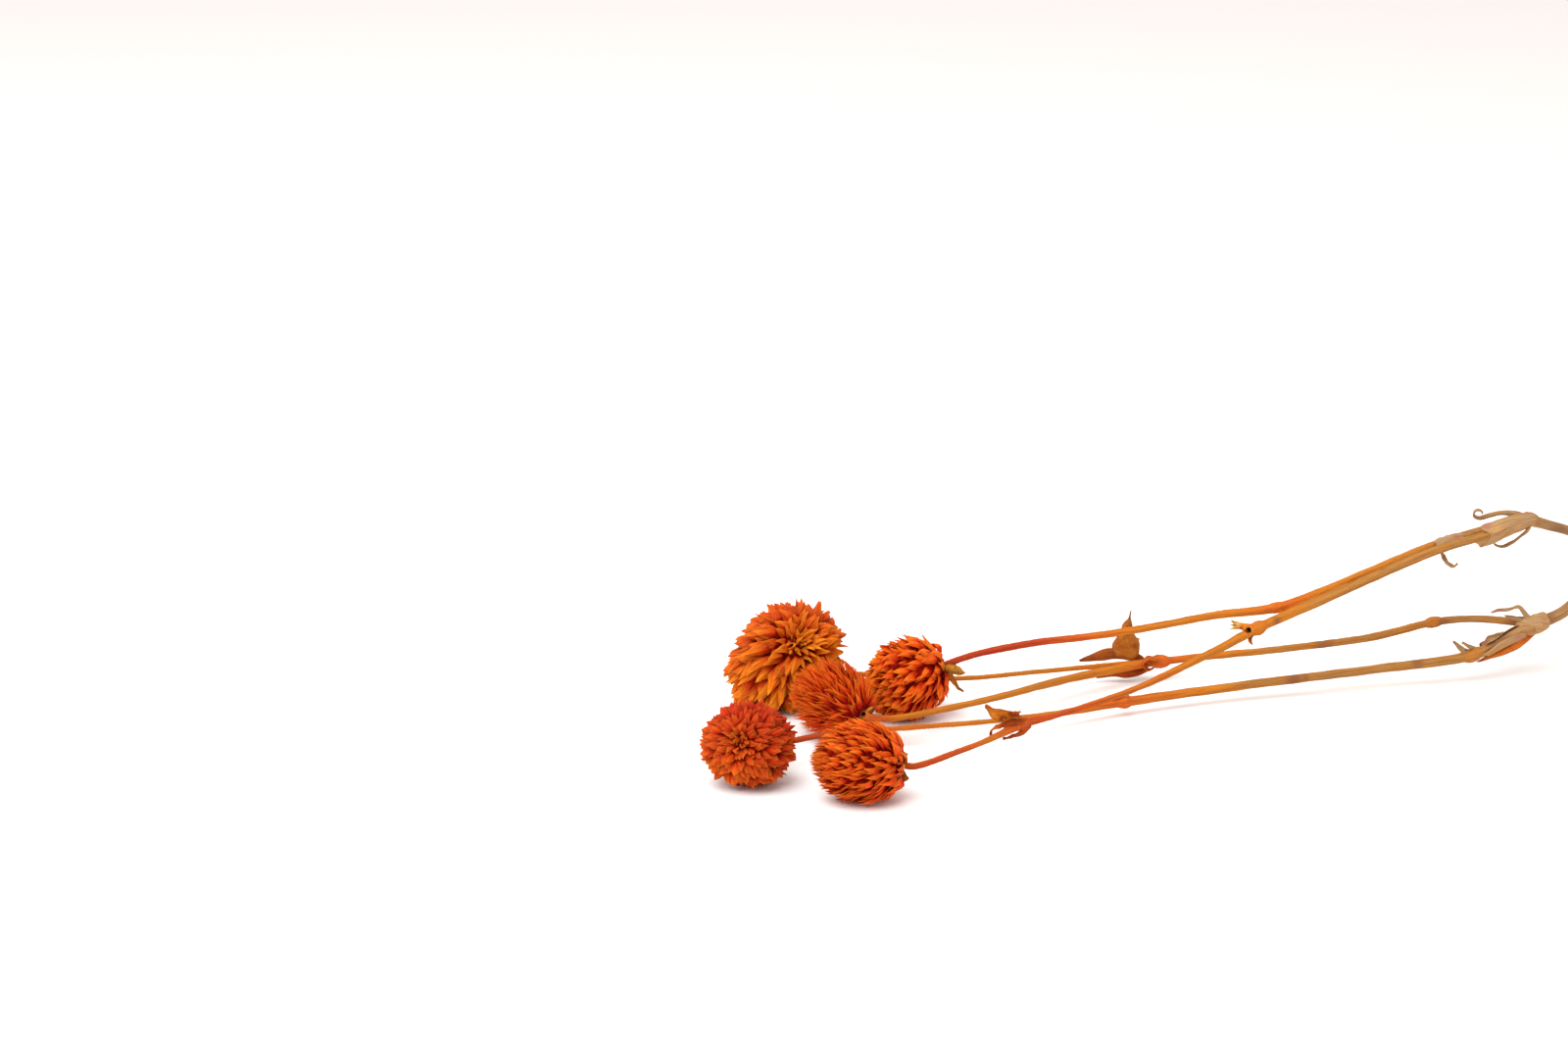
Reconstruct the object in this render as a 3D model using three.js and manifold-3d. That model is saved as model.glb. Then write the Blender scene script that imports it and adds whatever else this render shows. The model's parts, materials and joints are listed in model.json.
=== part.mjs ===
// Globe amaranth: one dried, orange-dyed branching stem with five flower heads, lying on a flat surface.
// Millimetres, +Z up, the surface at Z = 0. The heads lie towards -X and the cut end towards +X.
import * as THREE from 'three';
import { mergeVertices } from 'three/addons/utils/BufferGeometryUtils.js';
import Module from 'manifold-3d';

const wasm = await Module();
wasm.setup();

// Driving dimensions. Places are measured from the spot under the front head's middle, and ORIGIN
// is the middle of the whole thing's outline on the surface.
const ORIGIN = [139.22, 89.25];
const CLEARANCE = 0.3;

// The stem.
const STEM_SIDES = 7;
const STEM_STEP = 10;
const STALK_RADIUS = 0.8;
const STALK_STRAIGHT = 2;
const STUB_BORE_SHARE = 0.6;
const BARK_THICKNESS = 0.6;

// The bracts of a head, from the top to the last one beside the stalk. They are keeled spearheads,
// widest near the root and a little arched, and no two are quite alike.
const LAST_BRACT_ANGLE = THREE.MathUtils.degToRad(162);
const GOLDEN_ANGLE = Math.PI * (3 - Math.sqrt(5));
const BRACT_THICKNESS = 0.9;
const BRACT_SINK = 1.5;
const BRACT_WIDEST_AT = 0.42;
const BRACT_ARCH = 0.35;
const BRACT_SLOPE_LEAST = 0.5;
const TURN_SPREAD = 0.25;
const LEAN_SPREAD = 0.16;
const REACH_SPREAD = 0.16;

// The leafy bracts under a head, and the dry leaves.
const COLLAR_RADIUS = 1.7;
const COLLAR_THICKNESS = 1.0;
const LEAF_THICKNESS = 0.7;

// Each flower head: middle, direction from base to top, half length and half width, the core's share
// of them, number of bracts and their width. A bract leans from the head's axis by flare, plus open
// times the angle of its own place.
const HEADS = [
  { name: 'front', centre: [1.3, 1.2, 9.2], axis: [-0.99, -0.06, 0.1], long: 12.3, wide: 9.6,
    core: 0.74, bracts: 92, width: 3.1, flare: 0.1, open: 0.4, seed: 11 },
  { name: 'front_left', centre: [-24.2, 12.1, 9.9], axis: [-0.3, -0.88, 0.36], long: 10.4, wide: 10.4,
    core: 0.68, bracts: 104, width: 2.4, flare: 0.24, open: 0.62, seed: 23 },
  { name: 'middle', centre: [-4.4, 46.0, 9.6], axis: [-0.72, 0.62, 0.3], long: 12.2, wide: 9.5,
    core: 0.74, bracts: 96, width: 2.8, flare: 0.1, open: 0.44, seed: 37 },
  { name: 'back_right', centre: [13.6, 61.2, 9.6], axis: [-0.93, -0.1, -0.34], long: 11.6, wide: 9.8,
    core: 0.74, bracts: 84, width: 3.4, flare: 0.1, open: 0.38, seed: 41 },
  { name: 'back_left', centre: [-15.2, 71.4, 12.8], axis: [0.25, -0.8, 0.54], long: 14.6, wide: 13.8,
    core: 0.66, bracts: 110, width: 3.0, flare: 0.4, open: 0.58, seed: 59 },
];

// The two leafy bracts under each head: turn about the head's axis in degrees, length and half width,
// how far back they sweep, and how much their edges curl up.
const LEAFY_BRACTS = {
  front: [[285, 4.8, 1.5, 0.15, 0.5], [75, 3.8, 1.1, 0.2, 0.4]],
  front_left: [[60, 5.0, 1.4, 0.9, 0.5], [235, 5.6, 1.5, 1.1, 0.4]],
  middle: [[100, 4.6, 1.2, 0.5, 0.5], [285, 4.8, 1.3, 0.5, 0.4]],
  back_right: [[335, 5.6, 1.5, 1.1, 0.9], [285, 8.6, 1.6, 0.4, 0.3]],
  back_left: [[20, 6.0, 1.6, 0.9, 0.5], [165, 6.0, 1.6, 1.1, 0.4]],
};

// Joints of the stem.
const LOWEST_FORK = [195.9, 118, 26];
const HIGH_JOINT = [170.2, 103.2, 38];
const LOW_FORK = [171.4, 94.4, 13];
const HOLLOW_JOINT = [98.7, 63.2, 22];
const FAINT_JOINT = [103.9, 70.4, 25];
const FRONT_JOINT = [39.4, 19.2, 12.3];
const PEELED_JOINT = [155.6, 89, 7];
const RED_JOINT = [66.7, 62.4, 3.4];
const THIN_JOINT = [147.5, 103.2, 11];
const BACK_JOINT = [77.8, 90.4, 4.8];
const BROKEN_JOINT = [5.2, 38.8, 6.9];

const STEM_OCHRE = 0xb5641b;
const LEAF_BROWN = 0xa8561c;
const HEAD_COLOURS = {
  front: 0xc9531a, front_left: 0xb8360f, middle: 0xc44a16, back_right: 0xcc5a1c, back_left: 0xd5761a,
};

// A repeatable stream of numbers from 0 to 1.
function randomFrom(seed) {
  let state = seed;
  return () => {
    state = (state * 16807) % 2147483647;
    return state / 2147483647;
  };
}

function vector(xyz) {
  return new THREE.Vector3(...xyz);
}

// A closed mesh from corner points and triangles that face out.
function meshOf(points, triangles) {
  const geometry = new THREE.BufferGeometry();
  const places = points.flatMap((point) => point.toArray());
  geometry.setAttribute('position', new THREE.Float32BufferAttribute(places, 3));
  geometry.setIndex(triangles.flat());
  return geometry;
}

function solidOf(geometry) {
  let shape = geometry.clone();
  shape.deleteAttribute('normal');
  shape.deleteAttribute('uv');
  shape = mergeVertices(shape, 1e-4);
  return new wasm.Manifold(new wasm.Mesh({
    numProp: 3,
    vertProperties: Float32Array.from(shape.attributes.position.array),
    triVerts: Uint32Array.from(shape.index.array),
  }));
}

function geometryOf(solid) {
  const mesh = solid.getMesh();
  const geometry = new THREE.BufferGeometry();
  geometry.setAttribute('position', new THREE.Float32BufferAttribute(mesh.vertProperties, 3));
  geometry.setIndex([...mesh.triVerts]);
  return geometry;
}

// All the pieces joined in one body; a sealed hollow or a loose scrap that joining leaves is dropped.
function joined(solids) {
  const whole = solids.reduce((sum, solid) => sum.add(solid));
  return whole.decompose().reduce((a, b) => (b.volume() > a.volume() ? b : a));
}

// What would reach below the surface is pressed flat on it.
function restedOnSurface(solid) {
  const wide = 1000;
  const below = new THREE.BoxGeometry(wide, wide, wide).translate(0, 0, -wide / 2);
  return solid.subtract(solidOf(below));
}

// Rings of points joined by quads, closed by a fan at each end.
function lofted(rings) {
  const sides = rings[0].length;
  const points = rings.flat();
  const triangles = [];
  for (let ring = 0; ring + 1 < rings.length; ring += 1) {
    for (let side = 0; side < sides; side += 1) {
      const next = (side + 1) % sides;
      const a = ring * sides + side;
      const b = ring * sides + next;
      triangles.push([a, b, b + sides], [a, b + sides, a + sides]);
    }
  }
  const last = (rings.length - 1) * sides;
  for (let side = 1; side + 1 < sides; side += 1) {
    triangles.push([0, side + 1, side], [last, last + side, last + side + 1]);
  }
  return meshOf(points, triangles);
}

// A round, tapering length of stem through stations of [x, y, z, radius].
function stemLength(stations) {
  const places = stations.map(([x, y, z]) => new THREE.Vector3(x, y, z));
  const curve = new THREE.CatmullRomCurve3(places, false, 'centripetal');
  const rings = [];
  let across = new THREE.Vector3(0, 0, 1);
  const addRing = (t, radius) => {
    const centre = curve.getPoint(t);
    const along = curve.getTangent(t);
    across = across.clone().addScaledVector(along, -across.dot(along)).normalize();
    const other = along.clone().cross(across);
    const ring = [];
    for (let side = 0; side < STEM_SIDES; side += 1) {
      const angle = (2 * Math.PI * side) / STEM_SIDES;
      ring.push(centre.clone()
        .addScaledVector(across, radius * Math.cos(angle))
        .addScaledVector(other, radius * Math.sin(angle)));
    }
    rings.push(ring);
  };
  const spans = stations.length - 1;
  const radii = stations.map((station) => station[3]);
  for (let span = 0; span < spans; span += 1) {
    const steps = Math.max(1, Math.round(places[span].distanceTo(places[span + 1]) / STEM_STEP));
    for (let step = 0; step < steps; step += 1) {
      const share = step / steps;
      addRing((span + share) / spans, THREE.MathUtils.lerp(radii[span], radii[span + 1], share));
    }
  }
  addRing(1, radii[spans]);
  return solidOf(lofted(rings));
}

// The turn that brings a shape standing on +Y in line with a direction.
function turnTo(direction) {
  return new THREE.Quaternion().setFromUnitVectors(new THREE.Vector3(0, 1, 0), direction);
}

// A direction straight out of a head's axis.
function outOfAxis(frame, turn) {
  return frame.side.clone().multiplyScalar(Math.cos(turn))
    .addScaledVector(frame.other, Math.sin(turn));
}

// A direction between a head's axis and one straight out of it.
function leaning(frame, radial, angle) {
  return frame.along.clone().multiplyScalar(Math.cos(angle))
    .addScaledVector(radial, Math.sin(angle));
}

// A swelling where branches or leaves grew: a stretched ball.
function knuckle(place, direction, halfLength, radius) {
  const ball = new THREE.SphereGeometry(1, 9, 6);
  ball.scale(radius, halfLength, radius);
  ball.applyQuaternion(turnTo(vector(direction).normalize()));
  ball.translate(...place);
  return solidOf(ball);
}

// A thin blade along a line of places: flat, or with its edges curled up by a share of its width.
function blade(places, halfWidths, across, thickness, curl) {
  const line = new THREE.CatmullRomCurve3(places.map(vector));
  const last = halfWidths.length - 1;
  const rings = halfWidths.map((halfWidth, index) => {
    const centre = line.getPoint(index / last);
    const along = line.getTangent(index / last);
    const side = vector(across).addScaledVector(along, -vector(across).dot(along)).normalize();
    const up = along.clone().cross(side).normalize();
    const edge = (sign) => centre.clone()
      .addScaledVector(side, sign * halfWidth)
      .addScaledVector(up, curl * halfWidth);
    const half = Math.min(thickness / 2, halfWidth * 0.7);
    const below = centre.clone().addScaledVector(up, -half);
    const above = centre.clone().addScaledVector(up, half);
    return [edge(-1), below, edge(1), above];
  });
  return solidOf(lofted(rings));
}

// One bract: a keeled spearhead from a root sunk in the core, through its widest place, to its point.
function bract(root, middle, tip, sideways, outwards, width) {
  const left = middle.clone().addScaledVector(sideways, -width / 2);
  const right = middle.clone().addScaledVector(sideways, width / 2);
  const keel = middle.clone().addScaledVector(outwards, BRACT_THICKNESS * 0.6);
  const inner = middle.clone().addScaledVector(outwards, -BRACT_THICKNESS * 0.4);
  const ring = [1, 2, 3, 4];
  const triangles = ring.flatMap((a, index) => {
    const b = ring[(index + 1) % ring.length];
    return [[0, a, b], [5, b, a]];
  });
  return solidOf(meshOf([root, left, inner, right, keel, tip], triangles));
}

// Axis directions of a head: along it, and two across.
function headFrame(head) {
  const along = vector(head.axis).normalize();
  const side = new THREE.Vector3(0, 0, 1).cross(along).normalize();
  const other = along.clone().cross(side);
  return { centre: vector(head.centre), along, side, other };
}

// A point on the core of a head, with the direction straight out of the axis there.
function onCore(head, frame, angle, turn) {
  const radial = outOfAxis(frame, turn);
  const point = frame.centre.clone()
    .addScaledVector(frame.along, head.core * head.long * Math.cos(angle))
    .addScaledVector(radial, head.core * head.wide * Math.sin(angle));
  return { point, radial };
}

// A flower head: bracts on a spiral from the top to the base, standing out of a smaller core.
function flowerHead(head) {
  const frame = headFrame(head);
  const random = randomFrom(head.seed);
  const core = new THREE.SphereGeometry(1, 14, 9);
  core.scale(head.wide * head.core, head.long * head.core, head.wide * head.core);
  core.applyQuaternion(turnTo(frame.along));
  core.translate(...head.centre);
  const solids = [solidOf(core)];
  const lastCosine = Math.cos(LAST_BRACT_ANGLE);
  for (let index = 0; index < head.bracts; index += 1) {
    const angle = Math.acos(THREE.MathUtils.lerp(1, lastCosine, (index + 0.5) / head.bracts));
    const turn = index * GOLDEN_ANGLE + TURN_SPREAD * (random() - 0.5);
    const { point, radial } = onCore(head, frame, angle, turn);
    const lean = head.flare + head.open * angle + LEAN_SPREAD * (random() - 0.5);
    const pointing = leaning(frame, radial, lean);
    const normal = leaning(frame, radial, angle);
    const rise = (1 - head.core) * head.wide * (1 + REACH_SPREAD * (random() - 0.5));
    const length = rise / Math.max(pointing.dot(normal), BRACT_SLOPE_LEAST);
    const sideways = frame.along.clone().cross(radial);
    const outwards = sideways.clone().cross(pointing);
    const root = point.clone().addScaledVector(pointing, -BRACT_SINK);
    const middle = point.clone()
      .addScaledVector(pointing, length * BRACT_WIDEST_AT)
      .addScaledVector(outwards, BRACT_ARCH);
    const tip = point.clone().addScaledVector(pointing, length);
    solids.push(bract(root, middle, tip, sideways, outwards, head.width));
  }
  return restedOnSurface(joined(solids));
}

// Where the stalk meets a head: the collar of the leafy bracts sits between them.
function collarPlace(head) {
  const { centre, along } = headFrame(head);
  return centre.addScaledVector(along, -(head.core * head.long + CLEARANCE + COLLAR_THICKNESS / 2));
}

function stalkEnd(head) {
  const { along } = headFrame(head);
  return collarPlace(head).addScaledVector(along, -(COLLAR_THICKNESS / 2 + CLEARANCE)).toArray();
}

function headNamed(name) {
  return HEADS.find((head) => head.name === name);
}

// The last stretch of a stalk: it bends in line with the head and ends just short of its collar.
function stalkInto(name, radius) {
  const head = headNamed(name);
  const { along } = headFrame(head);
  const end = vector(stalkEnd(head));
  const before = end.clone().addScaledVector(along, -STALK_STRAIGHT);
  return [[...before.toArray(), radius], [...end.toArray(), radius]];
}

// A pair of small leafy bracts joined by a round collar.
function leafyBracts(head) {
  const frame = headFrame(head);
  const place = collarPlace(head);
  const collar = new THREE.CylinderGeometry(COLLAR_RADIUS, COLLAR_RADIUS * 0.8, COLLAR_THICKNESS, 10);
  collar.applyQuaternion(turnTo(frame.along));
  collar.translate(...place.toArray());
  const solids = [solidOf(collar)];
  for (const [turn, length, halfWidth, sweep, curl] of LEAFY_BRACTS[head.name]) {
    const radial = outOfAxis(frame, THREE.MathUtils.degToRad(turn));
    const reach = (share, back) => place.clone()
      .addScaledVector(radial, COLLAR_RADIUS * 0.5 + length * share)
      .addScaledVector(frame.along, -sweep * length * back)
      .toArray();
    const across = radial.clone().cross(frame.along).toArray();
    const places = [reach(0, 0), reach(0.3, 0.12), reach(0.6, 0.35), reach(0.8, 0.75)];
    solids.push(blade(places, [0.6, halfWidth, halfWidth * 0.8, 0.25], across, LEAF_THICKNESS, curl));
  }
  return joined(solids);
}

// The main stem from the cut end to the lowest fork.
function mainStem() {
  return [
    stemLength([
      [312, 185.5, 2.1, 2.3], [296, 176, 2.2, 2.3], [270, 161, 8, 2.3],
      [232, 139, 18.5, 2.2], [...LOWEST_FORK, 2.4],
    ]),
    knuckle(LOWEST_FORK, [0.8, 0.5, 0], 4.5, 3.1),
  ];
}

// The higher side stem: it forks at the bent joint, and its two branches run side by side.
function highSideStem() {
  return [
    stemLength([[...LOWEST_FORK, 1.7], [181, 109.4, 33.5, 1.2], [...HIGH_JOINT, 1.5]]),
    knuckle(HIGH_JOINT, [0.86, 0.5, -0.1], 3.4, 2.0),
    stemLength([
      [...HIGH_JOINT, 1.3], [157.8, 99.6, 36, 1.2], [145, 95.9, 33, 1.2], [117.3, 77.4, 27.5, 1.15],
      [...FAINT_JOINT, 1.2], [89.4, 72.2, 22.5, 1.0], [74.7, 69.6, 20.5, 0.95], [46.1, 69.3, 16.5, 0.9],
      [36, 67.6, 15.2, 0.85], [29.6, 65.4, 14.4, 0.8], ...stalkInto('back_right', STALK_RADIUS),
    ]),
    knuckle(FAINT_JOINT, [1, 0.1, 0.2], 2.6, 1.45),
    stemLength([
      [...HIGH_JOINT, 1.3], [157.8, 93.8, 36.5, 1.1], [145.2, 89, 34, 1.1], [114, 72.9, 25.5, 1.1],
      [...HOLLOW_JOINT, 1.2], [87.4, 51.5, 20, 1.0], [67.2, 33.5, 16.5, 0.8], [47.9, 22.4, 13.5, 0.65],
      [...FRONT_JOINT, 1.1], [31.2, 11, 11.3, 0.7], [23.3, 4.2, 10.5, 0.7],
      ...stalkInto('front', STALK_RADIUS),
    ]),
    knuckle(HOLLOW_JOINT, [0.8, 0.5, 0.2], 2.8, 1.8),
    knuckle(FRONT_JOINT, [0.8, 0.5, 0.2], 2.4, 1.5),
  ];
}

// The lower side stem: one branch runs straight to the front, the other forks again at the back.
function lowSideStem() {
  return [
    stemLength([[...LOWEST_FORK, 1.9], [181, 102, 15, 1.5], [...LOW_FORK, 1.5]]),
    knuckle(LOW_FORK, [0.6, 0.6, 0.4], 3.4, 2.0),
    stemLength([
      [...LOW_FORK, 1.4], [...PEELED_JOINT, 1.3], [129.8, 83.3, 5, 1.1], [97.3, 74.3, 3.8, 1.1],
      [...RED_JOINT, 1.2], [50.1, 53.1, 3.6, 0.8], [33.4, 45.5, 4.2, 0.65], [8.1, 37, 5.0, 0.65],
      [-5, 31.5, 5.8, 0.7], ...stalkInto('front_left', STALK_RADIUS),
    ]),
    knuckle(PEELED_JOINT, [0.8, 0.3, 0.3], 3.2, 1.8),
    knuckle(RED_JOINT, [0.85, 0.5, 0], 2.4, 1.7),
    stemLength([
      [...LOW_FORK, 1.2], [165.8, 97.7, 13, 1.0], [156.4, 101.6, 12.5, 0.9], [...THIN_JOINT, 1.0],
      [131.7, 98.8, 8.5, 1.0], [106.8, 96.1, 6, 0.9], [...BACK_JOINT, 1.0], [64.9, 83.7, 4.6, 1.1],
      [51.3, 73.9, 5, 1.0], [36.2, 60.1, 5.5, 0.85], [18.4, 46, 6.2, 0.8],
      [10, 41, 6.4, 0.8], [...BROKEN_JOINT, 0.9], ...stalkInto('middle', STALK_RADIUS),
    ]),
    knuckle(THIN_JOINT, [1, 0, 0.2], 2.6, 1.5),
    knuckle(BACK_JOINT, [1, 0.2, 0], 3, 1.8),
    knuckle(BROKEN_JOINT, [0.7, 0.4, 0], 1.6, 1.3),
    stemLength([
      [...BACK_JOINT, 0.9], [57.5, 86.4, 4.4, 0.65], [42, 81.2, 4.6, 0.65], [27.5, 78, 4.4, 0.65],
      [5, 84.5, 3.2, 0.7], ...stalkInto('back_left', STALK_RADIUS),
    ]),
  ];
}

// A short stub where a side branch was cut, hollow at its end.
function cutStub(from, to, radius) {
  const end = vector(to);
  const along = end.clone().sub(vector(from)).normalize();
  const depth = radius * 1.5;
  const outer = stemLength([[...from, radius], [...to, radius]]);
  const mouth = end.clone().addScaledVector(along, -depth);
  const past = end.clone().addScaledVector(along, 1);
  const bore = stemLength([
    [...mouth.toArray(), radius * STUB_BORE_SHARE], [...past.toArray(), radius * STUB_BORE_SHARE],
  ]);
  return { outer, bore };
}

const STUBS = [
  cutStub(HOLLOW_JOINT, [93.2, 62.0, 23.2], 1.0),
  cutStub(HOLLOW_JOINT, [96.2, 60.2, 22.4], 1.1),
  cutStub(FRONT_JOINT, [35.4, 18.4, 13.0], 0.8),
  cutStub(BROKEN_JOINT, [2.6, 35.4, 9.4], 1.0),
];

// Strips of bark that peel off the lower stems.
function peelingBark() {
  const strips = [
    [[[170, 103.6, 39], [165, 102, 41.2], [160.4, 100.4, 41.4], [156.6, 99, 40]], [0, 0.8, 0.6], 1.2],
    [[[169.5, 102.6, 36.8], [166.6, 100.6, 33], [162.6, 98.6, 31.2]], [0.5, 0.4, 0.7], 1.0],
    [[[149, 90.6, 33.8], [150.2, 88.8, 31.2], [153.4, 88, 30]], [0, 0.6, 0.8], 0.9],
    [[[155, 89.2, 8], [151.6, 87.6, 10], [149, 86.6, 12.2]], [0.6, 0.2, 0.7], 1.0],
    [[[158, 90.4, 8], [160.6, 91, 10.6], [163.6, 92.6, 11.8]], [0.3, 0.6, 0.7], 1.1],
    [[[171, 95.4, 14.2], [166.6, 94.4, 16.6], [162.8, 92.8, 16.2]], [0.3, 0.7, 0.7], 1.1],
    [[[173, 95.2, 12.2], [167, 92.8, 9.2], [160, 90, 7.0]], [0, 0.3, 1], 1.7],
  ];
  const curl = 0.3;
  return strips.map(([places, across, half]) => (
    blade(places, [half * 0.8, half, curl], across, BARK_THICKNESS, curl)));
}

// The whole stem as it grew, in one piece.
function wholeStem() {
  const solids = [
    ...mainStem(), ...highSideStem(), ...lowSideStem(),
    ...STUBS.map((stub) => stub.outer), ...peelingBark(),
  ];
  const hollowed = STUBS.reduce((stem, stub) => stem.subtract(stub.bore), joined(solids));
  return restedOnSurface(joined([hollowed]));
}

// The curled dry leaf at the front joint.
function frontLeaf() {
  const places = [[37.4, 18.6, 14.1], [35.8, 17.2, 15.4], [33.1, 16.5, 16.6], [30.6, 16.4, 18]];
  return blade(places, [0.7, 2.2, 2.3, 0.9], [0.5, 0.3, -0.8], LEAF_THICKNESS, 0.8);
}

// The dry leaf that stands up at the back joint, and the one that lies beside it.
function standingLeaf() {
  const places = [[71.4, 89.4, 6], [69.8, 89.0, 9.2], [69.6, 89.4, 13.6], [70.2, 90.2, 18.2]];
  return blade(places, [1.4, 3.4, 2.1, 0.4], [1, 0.2, 0], LEAF_THICKNESS, 0.4);
}

function lyingLeaf() {
  const places = [[73.9, 91.1, 5.4], [69.0, 92.6, 6.6], [63.4, 93.2, 6.2], [57.6, 93.0, 4.2]];
  return blade(places, [0.8, 2.4, 2.3, 0.4], [0, 0.7, 0.8], LEAF_THICKNESS, 0.7);
}

function piece(name, solid, colour, roughness) {
  const material = new THREE.MeshStandardMaterial({ color: colour, roughness, metalness: 0 });
  const mesh = new THREE.Mesh(geometryOf(solid), material);
  mesh.name = name;
  return mesh;
}

const part = new THREE.Group();
part.position.set(-ORIGIN[0], -ORIGIN[1], 0);
part.add(piece('stem', wholeStem(), STEM_OCHRE, 0.7));
for (const head of HEADS) {
  part.add(piece(`head_${head.name}`, flowerHead(head), HEAD_COLOURS[head.name], 0.8));
  part.add(piece(`leafy_bracts_${head.name}`, leafyBracts(head), LEAF_BROWN, 0.75));
}
part.add(piece('leaf_front_curled', frontLeaf(), LEAF_BROWN, 0.75));
part.add(piece('leaf_back_standing', standingLeaf(), LEAF_BROWN, 0.75));
part.add(piece('leaf_back_lying', lyingLeaf(), LEAF_BROWN, 0.75));

export default part;
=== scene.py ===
"""Preserved globe amaranth: one dried, dyed stem with five flower heads, lying on a pale surface.

The file is laid out as an add-on. Each operator makes one piece, or one group of like pieces, over
the plain solids of the frame, and main() calls them in order. Places in the tables are millimetres
from the spot under the front head's middle, and the finished pieces are in metres.
"""

import json
import math
import random

import bmesh
import bpy
import numpy as np
from bpy.props import FloatProperty, FloatVectorProperty, IntProperty, PointerProperty
from mathutils import Matrix, Vector, kdtree, noise

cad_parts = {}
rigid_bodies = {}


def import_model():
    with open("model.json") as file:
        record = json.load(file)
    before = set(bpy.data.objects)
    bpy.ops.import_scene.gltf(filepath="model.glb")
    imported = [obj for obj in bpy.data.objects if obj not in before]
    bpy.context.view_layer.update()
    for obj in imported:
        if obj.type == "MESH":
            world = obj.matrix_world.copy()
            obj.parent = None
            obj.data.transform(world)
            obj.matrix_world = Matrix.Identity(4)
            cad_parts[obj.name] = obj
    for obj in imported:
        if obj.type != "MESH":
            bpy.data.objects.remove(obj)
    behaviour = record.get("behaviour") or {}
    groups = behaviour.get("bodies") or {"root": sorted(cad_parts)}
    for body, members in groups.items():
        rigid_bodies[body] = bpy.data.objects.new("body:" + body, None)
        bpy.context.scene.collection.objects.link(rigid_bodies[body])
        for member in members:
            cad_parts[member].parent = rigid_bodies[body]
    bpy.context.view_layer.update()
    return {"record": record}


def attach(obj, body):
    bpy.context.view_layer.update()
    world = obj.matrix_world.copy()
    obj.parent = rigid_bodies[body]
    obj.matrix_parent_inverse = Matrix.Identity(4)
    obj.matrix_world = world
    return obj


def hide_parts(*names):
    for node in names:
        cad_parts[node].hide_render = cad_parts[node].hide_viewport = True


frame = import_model()

bl_info = {
    "name": "Preserved Globe Amaranth",
    "version": (1, 0, 0),
    "blender": (4, 5, 0),
    "location": "3D View > Sidebar > Amaranth",
    "description": "Makes a dried, dyed globe amaranth stem with its flower heads",
    "category": "Object",
}

MM = 0.001
BODY = "root"

# The middle of the whole outline, from the spot under the front head.
ORIGIN = Vector((139.22, 89.25, 0.0))

# The camera, from the same spot: 16 degrees down, through a 100 mm lens.
CAMERA_PLACE = (-16.2, -945.88, 338.58)
CAMERA_PITCH = 16.0
CAMERA_LENS = 100.0

# The stage: half the surface's side in metres, the lit spot in the tables' millimetres, and the main
# light's place from it and side, both in metres.
FLOOR_HALF_SIDE = 4.0
LIT_SPOT = (0, 30, 10)
LIGHT_AWAY = (-0.3, -0.3, 0.88)
LIGHT_SIDE = 1.0
LIGHT_COLOUR = (0.93, 1.0, 1.0)
SKY_COLOUR = (1.0, 0.925, 0.89)

# The spiral's turn from bract to bract, the slope under which a bract grows no longer, how far a
# collar is below its head's seat in millimetres, and how near points are merged.
GOLDEN_ANGLE = math.pi * (3 - math.sqrt(5))
SLOPE_LEAST = 0.5
COLLAR_REACH = 0.8
MERGE_REACH = 1e-7

# How many shapes of bract a head has, and one bract's wall and its sections, as shares of its width
# and length.
BRACT_SHAPES = 6
BRACT_WALL = 0.1
BRACT_STATIONS = (0.0, 0.2, 0.4, 0.58, 0.74, 0.88)
BRACT_CREASE = math.radians(26)
STEM_CREASE = math.radians(60)

# Sides of a round length of stem, and the steps along the lines of the stem and of a leaf.
STEM_SIDES = 14
STEM_STEP = 0.8 * MM
LEAF_STEP = 0.2 * MM

# How close to the surface the lowest points lie, how far a joint's cracked skin reaches from it, and
# how far the bark's pattern moves on with each point of the lengths before.
REST_GAP = 0.05 * MM
JOINT_REACH = 3.5 * MM
BARK_SHIFT = 113.0

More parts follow.
